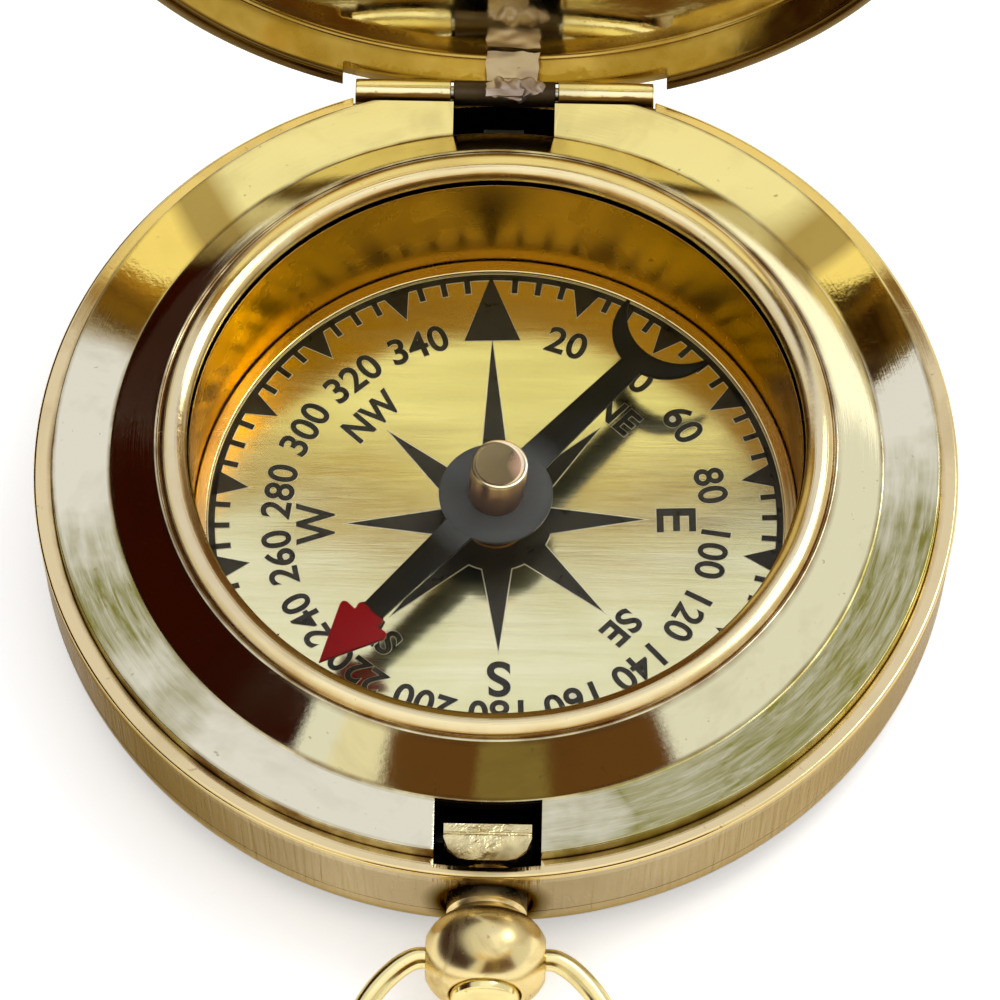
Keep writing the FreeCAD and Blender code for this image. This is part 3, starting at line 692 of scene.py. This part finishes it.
def dial_brass():
    """Bright brass with a fine brushed grain along X and soft swirls from wiping."""
    r = Recipe("dial_brass")
    streak = r.noise(50.0, 5.0, 0.65, 0.4, r.stretched((1.0, 16.0, 1.0)))
    fine = r.noise(500.0, 3.0, 0.6, 0.0, r.stretched((1.0, 14.0, 1.0)))
    cloud = r.noise(85.0, 3.0, 0.5, 1.2)
    tint = r.mix(r.span(cloud, 0.35, 0.7), (0.88, 0.82, 0.46), (0.79, 0.74, 0.36))
    tint = r.mix(r.times(r.span(streak, 0.35, 0.7), 0.45), tint, (0.68, 0.60, 0.23))
    rough = r.plus(r.span(streak, 0.3, 0.7, 0.12, 0.20), r.span(fine, 0.3, 0.7, -0.02, 0.03))
    normal = r.bump(r.noise(40.0, 2.0, 0.5, 0.5), 3e-4)
    normal = r.bump(streak, 8e-6, normal)
    normal = r.bump(fine, 1.2e-6, normal)
    return r.surface(Base_Color=tint, Metallic=1.0, Roughness=rough, Normal=normal)


# ---- paint, glass and jewel
def needle_paint():
    """Blackened steel, greyer on the boss, with red paint over the arrow at the needle's north end."""
    r = Recipe("needle_steel")
    r.locate()
    turn = radians(NEEDLE_BEARING)
    along = r.plus(r.times(r.x, sin(turn)), r.times(r.y, cos(turn)))
    red = r.span(r.plus(along, r.times(r.noise(700.0, 2.0), 0.4)), 10.05, 10.15)
    grain = r.noise(500.0, 4.0, 0.6)
    boss = r.under(r.radius, 2.9, 4.6)
    black = r.mix(grain, (0.004, 0.003, 0.001), (0.017, 0.014, 0.005))
    grey = r.mix(grain, (0.055, 0.055, 0.052), (0.115, 0.115, 0.108))
    tint = r.mix(red, r.mix(boss, black, grey), (0.235, 0.0010, 0.0012))
    return r.surface(Base_Color=tint, Roughness=r.span(grain, 0.3, 0.75, 0.34, 0.5), Specular_IOR_Level=0.08,
                     Normal=r.bump(grain, 2e-6))


def etch():
    """Painted highlight along the edges of the engraving."""
    return grained("engraving_edge_highlight", 700.0, (0.60, 0.54, 0.32), (0.80, 0.76, 0.55), (0.25, 0.4), 3e-6,
                   Metallic=0.35)


def ink():
    return grained("black_fill", 1500.0, (0.010, 0.008, 0.003), (0.045, 0.036, 0.014), (0.25, 0.45), 1e-5,
                   Specular_IOR_Level=0.3)


def crystal():
    r = Recipe("crystal_glass")
    smear = r.noise(120.0, 5.0, 0.7, 1.0)
    return r.surface(Base_Color=(0.98, 0.985, 0.98), Roughness=r.span(smear, 0.45, 0.8, 0.0, 0.05),
                     Transmission_Weight=1.0, IOR=1.08)


def jewel():
    r = Recipe("ruby_jewel")
    return r.surface(Base_Color=r.mix(r.noise(300.0), (0.5, 0.02, 0.08), (0.7, 0.05, 0.15)), Roughness=0.05,
                     Transmission_Weight=0.6, IOR=1.76)


# ---- case
def case_shell():
    """The spun cup, cut for the hinge, the lift spring, the catch, and the pendant and its solder."""
    corner = arc((CASE_FOOT_R - CORNER_R, CORNER_R), CORNER_R, -90, 0, 14)
    inner_r = CORNER_R - CASE_FLOOR
    hollow = arc((CASE_BORE_R - inner_r, CORNER_R), inner_r, 0, -90, 8)
    foot_z = CORNER_R + 0.01
    wall = [(CASE_FOOT_R + (CASE_R - CASE_FOOT_R) * i / 13, foot_z + (LEDGE_Z - 0.1 - foot_z) * i / 13)
            for i in range(14)]
    mouth = [(CASE_R - 0.12, LEDGE_Z), (CASE_BORE_R, LEDGE_Z), (CASE_BORE_R, foot_z)]
    rim = softened(wall + mouth, 0.08)[1:-1]
    shell = lathe("case_shell", [(0, 0)] + corner + rim + hollow + [(0, CASE_FLOOR)], 320)
    return carve(
        shell,
        block((-HINGE_SEAT_HALF, 21, 7.4), (HINGE_SEAT_HALF, 26, 9)),
        block((-HINGE_SLOT / 2, 21, 6.6), (HINGE_SLOT / 2, 24.73, 9)),
        front_room(24.6, 7.4, 9, CATCH_SLOT / 2),
        drum(PENDANT_NECK_R, (0, -20, BALL_Z), (0, -26, BALL_Z)),
        drum(SOLDERED_R, (0, -24.35, BALL_Z), (0, -26, BALL_Z)),
    )


def cover():
    """Flange and cone, slotted for the hinge and the catch outside the cone's foot."""
    lip = 18.3
    seat = 18.2
    outline = [
        (CELL_OUTER_R, COVER_UNDER_Z), (COVER_R - 0.8, COVER_UNDER_Z), (COVER_R - 0.8, COVER_FOOT_Z),
        (COVER_R, COVER_FOOT_Z), (COVER_R, FLANGE_Z), (CONE_FOOT_R, FLANGE_Z), (CONE_LIP_R, CONE_TOP_Z),
        (lip, CONE_TOP_Z), (lip, CONE_TOP_Z - 0.12), (seat, CONE_TOP_Z - 0.12), (seat, BEZEL_LOW),
        (CELL_OUTER_R, BEZEL_LOW),
    ]
    slots = []
    for half, side in ((HINGE_SLOT / 2, 1), (CATCH_SLOT / 2, -1)):
        near, far = sorted((side * 19, side * 26))
        cone = drum(CONE_FOOT_R, (0, 0, 4), (0, 0, 11), 256)
        slots.append(carve(block((-half, near, 5), (half, far, 10)), cone, bevel=0))
    seat_cut = block((-HINGE_SEAT_HALF, 22.85, 5), (HINGE_SEAT_HALF, 26, 10))
    return carve(lathe("cover", softened(outline, 0.10), 320), *slots, seat_cut)


def cell():
    outline = [(0, CELL_LOW), (CELL_OUTER_R, CELL_LOW), (CELL_OUTER_R, GLASS_LOW), (CELL_BORE_R, GLASS_LOW),
               (CELL_BORE_R, DIAL_LOW), (0, DIAL_LOW)]
    return lathe("cell", softened(outline, 0.06))


def glass():
    return lathe("crystal", softened(tube_outline(0, GLASS_R, GLASS_LOW, GLASS_TOP), 0.05))


def bezel():
    centre_z = BEZEL_TOP - 0.42
    crown = [(r, centre_z + (z - centre_z) * 0.55) for r, z in arc((17.44, centre_z), 0.76, 8, 172, 16)]
    foot = [(CELL_OUTER_R, BEZEL_LOW), (BEZEL_R, BEZEL_LOW), (BEZEL_R, BEZEL_TOP - 0.35)]
    lip = [(OPENING_R, BEZEL_TOP - 0.7), (CELL_OUTER_R, BEZEL_TOP - 0.7)]
    return lathe("bezel", foot + crown + lip, 320, 40)


def retainer():
    return lathe("dial_ring", softened(tube_outline(15.72, RETAINER_R, RETAINER_LOW, RETAINER_TOP), 0.08))


# ---- lid
def dome(foot_r, foot_z, crown, steps=40):
    """Points of a spherical crown from its foot to the axis."""
    sphere = (foot_r ** 2 + crown ** 2) / (2 * crown)
    points = []
    for i in range(steps + 1):
        radius = foot_r * (1 - i / steps)
        points.append((radius, foot_z + crown - sphere + sqrt(sphere ** 2 - radius ** 2)))
    return points


def lid():
    """Drawn shut, notched for the hinge and grooved for the catch's nose, then swung open."""
    shoulder_r = CASE_R - LID_SHOULDER_R
    outer_z = LID_WALL_Z + 0.4
    outside = dome(shoulder_r, outer_z, 2.34)
    inside = dome(LID_DOME_FOOT_R, LID_WALL_Z + 0.04, 2.16)[::-1]
    shoulder = arc((shoulder_r, outer_z - LID_SHOULDER_R), LID_SHOULDER_R, 0, 84, 10)
    root = arc((LID_DOME_FOOT_R, LID_WALL_Z - 0.3), 0.3, 80, 0, 5)
    inner_wall = [(LID_BORE_R, LID_WALL_Z - 0.4 - 0.22 * i) for i in range(10)]
    outer_wall = [(CASE_R, LID_RIM_Z + 0.3 + 0.2 * i) for i in range(8)]
    rim = [(LID_BORE_R, LID_RIM_Z + 0.12), (LID_BORE_R + 0.06, LID_RIM_Z + 0.03),
           (LID_BORE_R + 0.15, LID_RIM_Z), (CASE_R - 0.15, LID_RIM_Z), (CASE_R - 0.05, LID_RIM_Z + 0.04),
           (CASE_R, LID_RIM_Z + 0.14)]
    shell = lathe("lid", rim + outer_wall + shoulder + outside + inside[:-1] + root + inner_wall, 320, 40)
    notch = prism([(20, 7), (26, 7), (26, HINGE_Z + 1.9), (25, HINGE_Z + 1.9), (LID_BORE_R, HINGE_Z + 0.9),
                   (20, HINGE_Z + 0.9)], LID_NOTCH_HALF)
    carve(shell, notch, front_room(24.55, 8.48, 9.3, 3.4), bevel=0.04)
    return turned_to(shell, about(HINGE, "X", -LID_OPEN))


# ---- needle
def needle():
    """A tapered blade with an arrow at one end and a crescent at the other, and its domed boss."""
    hub, neck = 0.95, 0.68
    tail_y, tail_r = -13.8, 2.95
    bite_y, bite_r = -15.1, 3.0
    right = [(neck, -10.93), (hub, -1.0), (hub, 1.0), (neck, 9.75)]
    right += [(neck + 0.16, 9.92), (neck + 0.2, 10.08), (neck + 0.14, 10.3), (neck + 0.12, 10.42)]
    right += [(1.35, 10.38), (1.52, 10.42), (1.62, 10.55), (1.6, 10.75)]
    left = [(-x, y) for x, y in right[::-1]]
    horn = math.degrees(math.asin(0.15 / tail_r))
    start = math.degrees(math.asin(neck / tail_r))
    left_arm = arc((0, tail_y), tail_r, 90 + start, 180 + horn, 14)[1:]
    half = math.degrees(math.asin((tail_y - 0.15 - bite_y) / bite_r))
    bite = arc((0, bite_y), bite_r, 180 - half, half, 18)
    right_arm = [(-x, y) for x, y in left_arm[::-1]]
    blade_top = NEEDLE_LOW + 0.28
    outline = right + [(0, 14.15)] + left + left_arm + bite + right_arm
    blade = slab("needle_plate", outline, NEEDLE_LOW, blade_top, 0.07)
    boss = lathe("needle_boss", [
        (BOSS_BORE_R, NEEDLE_LOW), (BOSS_R - 0.15, NEEDLE_LOW), (BOSS_R, NEEDLE_LOW + 0.1),
        (BOSS_R, blade_top), (BOSS_R - 0.12, blade_top + 0.06), (2.7, BOSS_TOP - 0.02), (2.4, BOSS_TOP),
        (BOSS_BORE_R, BOSS_TOP)], 96)
    turned_to(blade, Matrix.Rotation(radians(-NEEDLE_BEARING), 4, "Z"))
    return merged("needle", [blade, boss])


def cap():
    """The turned cap, hollow for its jewel, leaning a little."""
    foot_r, bore_r, bore_top = 1.28, 0.95, 8.1
    outline = [
        (bore_r, CAP_LOW), (foot_r, CAP_LOW), (foot_r, BOSS_TOP), (CAP_R, BOSS_TOP), (CAP_R, CAP_TOP - 0.02),
        (CAP_R - 0.14, CAP_TOP), (CAP_R - 0.2, CAP_TOP - 0.05), (0, CAP_TOP - 0.09), (0, bore_top),
        (bore_r, bore_top)]
    lean = about(Vector((0, 0, BOSS_TOP * MM)), "Y", radians(CAP_LEAN))
    return turned_to(lathe("cap", softened(outline, 0.06), 128), lean)


def collar():
    bore_r, foot_r = 0.36, 1.05
    outline = [(bore_r, COLLAR_LOW), (foot_r, COLLAR_LOW), (foot_r, DIAL_Z), (COLLAR_R, DIAL_Z),
               (COLLAR_R, COLLAR_TOP), (bore_r, COLLAR_TOP)]
    return lathe("pivot_collar", softened(outline, 0.12), 96)


# ---- dial
def dial_plate():
    return lathe("dial_plate", softened(tube_outline(DIAL_BORE_R, DIAL_R, DIAL_LOW, DIAL_Z), 0.03))


def on_dial(outline, bearing):
    """An outline drawn for 12 o'clock, turned clockwise to its bearing."""
    c = cos(radians(bearing))
    s = sin(radians(bearing))
    return [(x * c + y * s, y * c - x * s) for x, y in outline]


def figures(text, height, width, radius, bearing, weight, low, high):
    """Figures whose tops point outwards, centred at a radius and bearing."""
    curve = bpy.data.curves.new("figures", "FONT")
    curve.body = text
    curve.align_x = "CENTER"
    curve.align_y = "CENTER"
    curve.size = height * 1.38
    curve.space_character = 1.03
    curve.offset = weight
    curve.extrude = (high - low) / 2
    x, y = on_dial([(0, radius)], bearing)[0]
    place = Matrix.Translation((x, y, (low + high) / 2)) @ Matrix.Rotation(radians(-bearing), 4, "Z")
    return from_curve("figures", curve, Matrix.Scale(MM, 4) @ place @ Matrix.Diagonal((width, 1, 1, 1)))


def dial_turned(piece):
    return turned_to(piece, Matrix.Rotation(radians(-DIAL_TURN), 4, "Z"))


def marks(name, lift, grow):
    """Every mark on the dial, raised by lift and each grown outwards by grow, in millimetres."""
    low, high = DIAL_Z, DIAL_Z + lift
    outer = SCALE_R - 0.1
    pieces = [lathe("band", tube_outline(SCALE_R - 0.36 - grow, SCALE_R + grow, low, high))]
    for bearing in range(5, 360, 5):
        if bearing % 20 == 0:
            half = 0.82 + grow
            outline = [(-half, outer), (half, outer), (0, 13.65 - 1.6 * grow)]
        else:
            half = 0.16 + grow
            outline = [(-half, outer), (half, outer), (half, 14.5 - grow), (-half, 14.5 - grow)]
        pieces.append(slab("mark", on_dial(outline, bearing), low, high))
    arrow = [(-1.53 - grow, 11.45 - grow), (1.53 + grow, 11.45 - grow), (0, outer)]
    pieces.append(slab("mark", arrow, low, high))
    for bearing in range(20, 360, 20):
        pieces.append(figures(str(bearing), 1.62, 1.0, 11.85, bearing, 0.045 + 0.5 * grow, low, high))
    for text, bearing, radius, height, width in (
            ("E", 90, 9.7, 2.15, 1.15), ("S", 180, 9.7, 2.15, 1.0), ("W", 270, 9.7, 2.1, 0.82),
            ("NE", 45, 9.4, 1.55, 0.95), ("SE", 135, 9.4, 1.55, 1.0), ("SW", 225, 9.4, 1.55, 0.95),
            ("NW", 315, 9.4, 1.55, 0.88)):
        pieces.append(figures(text, height, width, radius, bearing, 0.06 + 0.5 * grow, low, high))
    for piece in pieces:
        piece.data.shade_flat()
    return dial_turned(merged(name, pieces))


def star(name, lift, grow):
    """Eight narrow points round a hub, the one at north as long as the big triangle's foot."""
    low, high = DIAL_Z, DIAL_Z + lift
    pieces = [lathe("band", tube_outline(1.7, STAR_HUB_R + grow, low, high), 96)]
    for bearing in range(0, 360, 45):
        tip = 11.5 if bearing == 0 else 8.1
        half = 0.85 + grow
        outline = [(-half, 2.6), (half, 2.6), (0, tip + 4 * grow)]
        pieces.append(slab("mark", on_dial(outline, bearing), low, high))
    return dial_turned(merged(name, pieces))


# ---- pendant, button, bow, catch, hinge
def along_pendant(piece):
    """Turns a piece drawn about Z, with its height as the distance from the dial's axis, to -Y."""
    place = Matrix.Translation((0, 0, BOW_PIVOT.z)) @ Matrix.Rotation(radians(90), 4, "X")
    return turned_to(piece, place)


def pendant():
    """Neck and ball, bored for the button and dimpled for the bow's ends."""
    low, high = corners("pendant")
    ball = -BALL_Y
    end = -low.y
    start = -high.y
    length = end - ball + 0.35
    bead = ball - length
    outline = [(STEM_BORE_R, start), (PENDANT_NECK_R, start), (PENDANT_NECK_R, bead - 0.08),
               (2.02, bead + 0.04), (1.98, bead + 0.14), (2.04, bead + 0.26)]
    for i in range(29):
        angle = radians(-60 + 4.1 * i)
        outline.append((BALL_R * cos(angle) ** 0.72, ball + length * sin(angle)))
    outline = [point for point in outline if point[1] < end - 0.2]
    mouth_r = BUTTON_R + 0.05
    outline += [(2.25, end - 0.08), (2.05, end), (mouth_r, end - 0.1), (mouth_r, end - 1.8),
                (STEM_BORE_R, end - 1.8)]
    body = along_pendant(lathe("pendant_ball", outline, 128))
    dimples = []
    for side in (-1, 1):
        for radius, depth in ((1.3, 3.2), (BOW_WIRE_R + 0.04, 2.25)):
            dimples.append(drum(radius, (side * depth, BALL_Y, BALL_Z), (side * 5, BALL_Y, BALL_Z)))
    return carve(body, *dimples, bevel=0.08)


def button():
    low, high = corners("push_button")
    start, end = -high.y, -low.y
    stem = [(0, start), (STEM_R, start), (STEM_R, end - 1.2), (BUTTON_R, end - 1.2)]
    face = [(BUTTON_R, end - 0.3), (BUTTON_R - 0.07, end - 0.1), (1.6, end), (1.2, end - 0.02),
            (0, end - 0.02)]
    return along_pendant(lathe("button", stem + face, 96))


def wire(name, path, radius):
    """Round wire through the points, in millimetres."""
    curve = bpy.data.curves.new(name, "CURVE")
    curve.dimensions = "3D"
    curve.bevel_depth = radius
    curve.bevel_resolution = 6
    curve.use_fill_caps = True
    spline = curve.splines.new("NURBS")
    spline.points.add(len(path) - 1)
    for point, place in zip(spline.points, path):
        point.co = (*place, 1)
    spline.order_u = 3
    spline.use_endpoint_u = True
    spline.resolution_u = 3
    made = from_curve(name, curve, Matrix.Scale(MM, 4))
    made.data.shade_smooth()
    made.data.set_sharp_from_angle(angle=radians(50))
    return made


def bow():
    """A ring whose ends turn in to the pendant's sides, let down onto the floor."""
    ring_r = corners("bow")[1].x - BOW_WIRE_R
    tilt = math.asin((BALL_Z - BOW_WIRE_R - 0.05) / (BOW_RING_CENTRE + ring_r))
    gap = math.degrees(math.acos(BOW_RING_CENTRE / ring_r))
    end = [(-BOW_END_X, 0, 0), (-BOW_END_X - 0.8, 0, 0), (-BOW_END_X - 1.4, 0.02, 0)]
    ring = [(x, y, 0) for x, y in arc((0, -BOW_RING_CENTRE), ring_r, 90 + gap + 5, 450 - gap - 5, 72)]
    path = end + ring + [(-x, y, z) for x, y, z in end[::-1]]
    place = Matrix.Translation(BOW_PIVOT) @ Matrix.Rotation(tilt, 4, "X")
    return turned_to(wire("bow_ring", path, BOW_WIRE_R), place)


def catch():
    """The catch's bolt: a top with worn outer corners, a ramp for the lid and a nose under it."""
    low, high = corners("latch_catch")
    half = high.x
    foot, top = low.z, high.z
    back, nose = high.y, low.y
    worn = [(half, nose + 1.15), (half - 0.25, nose + 0.5), (half - 0.8, nose + 0.12), (0.9, nose)]
    plan = [(-half, back), (half, back)] + worn + [(-x, y) for x, y in worn[::-1]]
    bolt = slab("catch", plan, foot, top)
    ramp = prism([(nose + 1.25, top + 0.001), (nose + 0.45, top - 0.08), (nose - 0.05, top - 0.46),
                  (nose - 0.05, top + 1), (nose + 1.25, top + 1)], 4)
    under = block((-4, nose - 1, foot - 1), (4, nose + 1.0, top - 0.4))
    channel = drum(0.10, (-4, nose + 1.42, top + 0.05), (4, nose + 1.42, top + 0.05))
    return carve(bolt, ramp, under, channel, bevel=0.08)


def barrel(name, start, end, bore=0.36):
    """A hinge barrel along X with eased ends."""
    tube = lathe(name, softened(tube_outline(bore, BARREL_R, start, end), 0.09), 64)
    place = Matrix.Translation((0, HINGE.y, HINGE.z)) @ Matrix.Rotation(radians(90), 4, "Y")
    return turned_to(tube, place)


def knuckle(name, node):
    """A barrel of the case on its foot."""
    low, high = corners(node)
    tube = barrel(name + "_tube", low.x, high.x)
    foot = block((low.x + 0.04, HINGE_Y - KNUCKLE_FOOT_HALF, low.z),
                 (high.x - 0.04, HINGE_Y + KNUCKLE_FOOT_HALF, HINGE_Z - 0.3))
    carve(foot, drum(0.4, (-20, HINGE_Y, HINGE_Z), (20, HINGE_Y, HINGE_Z)), bevel=0.04)
    return merged(name, [tube, foot])


def kicker():
    """Lug and tail of the lid's knuckle, lumpy with solder, drawn shut and swung open."""
    wall = sqrt(LID_BORE_R ** 2 - (LUG_OFFSET + LUG_HALF) ** 2)
    lug = block((LUG_OFFSET - LUG_HALF, wall - 0.5, HINGE_Z + 0.6),
                (LUG_OFFSET + LUG_HALF, wall, HINGE_Z + 2.7))
    tail = block((-1.05, HINGE_Y - 1.45, HINGE_Z - 0.2), (1.05, HINGE_Y - 0.68, HINGE_Z + 0.2))
    turned_to(tail, about(HINGE, "X", radians(35)))
    whole = merged("kicker", [lug, tail])
    bm = bmesh.new()
    bm.from_mesh(whole.data)
    bmesh.ops.subdivide_edges(bm, edges=bm.edges[:], cuts=9, use_grid_fill=True)
    bm.to_mesh(whole.data)
    bm.free()
    lumpy(whole, 0.7, 0.12, 4.0)
    whole.data.shade_smooth()
    return turned_to(whole, about(HINGE, "X", -LID_OPEN))


def solder_drips():
    """Beads that ran from the lug onto the lid's knuckle, drawn with the lid open."""
    beads = []
    for x, back, up, radius in ((1.9, 0.05, 0.45, 0.42), (1.3, 0.3, 0.5, 0.38), (0.2, 0.35, 0.5, 0.34),
                                (2.2, -0.25, 0.25, 0.3)):
        bm = bmesh.new()
        place = Matrix.Translation((x, HINGE_Y + back, HINGE_Z + up))
        bmesh.ops.create_icosphere(bm, subdivisions=4, radius=radius, matrix=place)
        beads.append(lumpy(finished("bead", bm), 0.35, 0.1, x))
    bm = bmesh.new()
    bmesh.ops.create_icosphere(bm, subdivisions=5, radius=1)
    place = Matrix.Translation((LUG_OFFSET, HINGE_Y - 0.05, HINGE_Z + 0.60))
    bmesh.ops.transform(bm, matrix=place @ Matrix.Diagonal((1.5, 0.75, 0.34, 1)), verts=bm.verts)
    beads.append(lumpy(finished("saddle", bm), 0.6, 0.28, 7.0))
    return merged("solder_drips", beads)


def leaf_spring(node):
    """A spring from the frame, as a piece of its own."""
    source = frame["nodes"][node]
    bm = bmesh.new()
    bm.from_mesh(source.data)
    bmesh.ops.transform(bm, matrix=Matrix.Scale(1 / MM, 4) @ source.matrix_world, verts=bm.verts)
    return finished(node + "_leaf", bm)


# ---- light, floor and camera
class Sky:
    """Builds the studio round the compass: panels at a bearing from +Y and a height above the floor."""

    def __init__(self, base):
        world = bpy.data.worlds.new("studio")
        bpy.context.scene.world = world
        world.use_nodes = True
        self.nodes = Nodes(world.node_tree)
        ray = self.nodes.node("ShaderNodeTexCoord").outputs["Generated"]
        self.x, self.y, z = self.nodes.node("ShaderNodeSeparateXYZ", {0: ray}).outputs
        self.height = self.nodes.maths("ARCSINE", z)
        self.colour = base

    def within(self, value, centre, half, soft):
        made = self.nodes.node("ShaderNodeMapRange", {
            "Value": self.nodes.far(value, radians(centre)), "From Min": radians(half + soft),
            "From Max": radians(half - soft)}, interpolation_type="SMOOTHSTEP")
        return made.outputs["Result"]

    def panel(self, bearing, height, half_wide, half_high, soft, colour):
        """A patch of colour, with its place, its half sizes and its soft edge in degrees."""
        c, s = cos(radians(bearing)), sin(radians(bearing))
        n = self.nodes
        across = n.minus(n.times(self.x, c), n.times(self.y, s))
        ahead = n.plus(n.times(self.x, s), n.times(self.y, c))
        wide = self.within(n.maths("ARCTAN2", across, ahead), 0, half_wide, soft)
        high = self.within(self.height, height, half_high, soft)
        self.colour = n.mix(n.times(wide, high), self.colour, colour)

    def finish(self):
        background = self.nodes.tree.nodes["Background"]
        self.nodes.feed(background.inputs["Color"], self.colour)


def studio():
    """White room with a dark brown side on the left and a brown figure in front."""
    sky = Sky((0.92, 0.94, 0.96))
    sky.panel(180, 79, 180, 12, 3, (1.25, 1.30, 1.38))
    sky.panel(0, 60, 62, 7, 3, (0.93, 0.96, 1.20))
    sky.panel(180, 59, 62, 9, 3, (1.20, 1.24, 1.30))
    sky.panel(180, 44, 62, 6, 3, (0.95, 0.72, 0.31))
    sky.panel(171, 5, 35, 36, 2, (0.14, 0.06, 0.015))
    sky.panel(176, 5, 9, 36, 2, (0.24, 0.17, 0.05))
    sky.panel(-81, -12, 52, 46, 2, (0.030, 0.004, 0.001))
    sky.panel(-149, 5, 6, 40, 2, (0.95, 0.90, 0.70))
    sky.finish()


def mat():
    """A dark brown mat on the left that only the brass sees, by reflection."""
    near, far = 52, 3900
    bearings = [radians(-28 - 4 * i) for i in range(27)]
    bm = bmesh.new()
    rings = [[bm.verts.new((r * sin(b), r * cos(b), 0)) for b in bearings] for r in (near, far)]
    for i in range(len(bearings) - 1):
        bm.faces.new((rings[0][i], rings[0][i + 1], rings[1][i + 1], rings[1][i]))
    card = finished("mat", bm)
    r = Recipe("mat_brown")
    tint = r.mix(r.noise(20.0), (0.026, 0.004, 0.0015), (0.034, 0.006, 0.002))
    painted(card, r.surface(Base_Color=tint, Roughness=0.9, Specular_IOR_Level=0.1))
    card.visible_camera = False
    card.visible_diffuse = False
    card.visible_shadow = False


def softbox(place, size, power):
    """A square lamp that faces the compass."""
    lamp = bpy.data.lights.new("key", "AREA")
    lamp.shape = "SQUARE"
    lamp.size = size
    lamp.energy = power
    holder = linked("key", lamp)
    holder.location = place
    holder.rotation_mode = "QUATERNION"
    holder.rotation_quaternion = (-Vector(place)).to_track_quat("-Z", "Y")


def floor():
    bm = bmesh.new()
    bmesh.ops.create_grid(bm, x_segments=1, y_segments=1, size=4000)
    ground = finished("floor", bm)
    ground.location.z = (CASE_LOW - 0.1) * MM
    r = Recipe("floor_white")
    tint = r.mix(r.noise(3.0), (0.93, 0.93, 0.93), (0.95, 0.95, 0.95))
    painted(ground, r.surface(
        Base_Color=tint, Roughness=0.9, Emission_Color=(1.0, 1.0, 1.0), Emission_Strength=0.4))


CAMERA_ELEVATION = radians(60.1)
CAMERA_YAW = radians(0.85)
CAMERA_ROLL = radians(0.31)
CAMERA_DISTANCE = 0.670
CAMERA_LENS = 447.0
AIM = Vector((0.00025, -0.00191, 0.00818))


def camera():
    lens = bpy.data.cameras.new("camera")
    lens.lens = CAMERA_LENS
    lens.sensor_width = 36.0
    lens.clip_start = 0.01
    lens.clip_end = 20.0
    holder = linked("camera", lens)
    level = cos(CAMERA_ELEVATION)
    back = Vector((level * sin(CAMERA_YAW), -level * cos(CAMERA_YAW), sin(CAMERA_ELEVATION)))
    roll = Matrix.Rotation(CAMERA_ROLL, 3, "Z").to_quaternion()
    holder.location = AIM + back * CAMERA_DISTANCE
    holder.rotation_mode = "QUATERNION"
    holder.rotation_quaternion = (-back).to_track_quat("-Z", "Y") @ roll
    bpy.context.scene.camera = holder


# ---- putting it together
m = metals()
for piece, body, material, slot, *nodes in (
        (case_shell(), "case", m["case"], "polished_brass", "case_body"),
        (cover(), "case", m["cover"], "polished_brass", "cover_ring"),
        (bezel(), "case", m["bezel"], "polished_brass", "bezel_ring"),
        (cell(), "case", m["cell"], "turned_brass", "compass_cell"),
        (glass(), "case", crystal(), "crystal", "glass"),
        (retainer(), "case", m["retainer"], "dial_brass", "dial_retaining_ring"),
        (dial_plate(), "case", dial_brass(), "dial_brass", "dial"),
        (collar(), "case", m["copper"], "turned_brass", "pivot_base"),
        (pendant(), "case", m["pendant"], "polished_brass", "pendant"),
        (knuckle("knuckle_left", "hinge_knuckle_left"), "case", m["barrel"], "polished_brass",
         "hinge_knuckle_left"),
        (knuckle("knuckle_right", "hinge_knuckle_right"), "case", m["barrel"], "polished_brass",
         "hinge_knuckle_right"),
        (lid(), "lid", m["lid"], "polished_brass", "lid_shell"),
        (barrel("lid_barrel", -2.8, 2.8, 0.39), "lid", m["shaded_knuckle"], "polished_brass", "lid_knuckle"),
        (solder_drips(), "lid", m["solder"], "polished_brass"),
        (kicker(), "lid", m["solder"], "polished_brass", "lid_kicker"),
        (needle(), "needle", needle_paint(), "blackened_steel", "needle_blade"),
        (cap(), "needle", cap_metal(), "turned_brass", "needle_cap"),
        (button(), "button", m["fittings"], "polished_brass", "push_button"),
        (catch(), "catch", m["catch"], "turned_brass", "latch_catch"),
        (bow(), "bow", m["fittings"], "polished_brass", "bow")):
    fitted(piece, body, material, slot, *nodes)

bright, black = etch(), ink()
# pale rims under the marks and the star: painted highlight on the engraving's edges
fitted(marks("dial_mark_edges", EDGE_LIFT, 0.04), "case", bright, "dial_brass")
fitted(marks("dial_marks", INK_LIFT, 0.0), "case", black, "dial_brass")
fitted(star("star_edges", EDGE_LIFT, 0.07), "case", bright, "dial_brass")
fitted(star("star", INK_LIFT, 0.0), "case", black, "dial_brass")

latch = leaf_spring("latch_spring")
painted(latch, m["spring"])
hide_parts("latch_spring")
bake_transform(latch)

for node in ("pivot_pin", "hinge_pin"):
    painted(frame["nodes"][node], m["steel"])
for node in ("lift_spring", "spring_screws"):
    painted(frame["nodes"][node], m["spring"])
painted(frame["nodes"]["cap_jewel"], jewel())

studio()
softbox((0.55, 0.40, 1.1), 0.5, 4.5)
floor()
mat()
camera()
bpy.context.scene.view_settings.view_transform = "Standard"
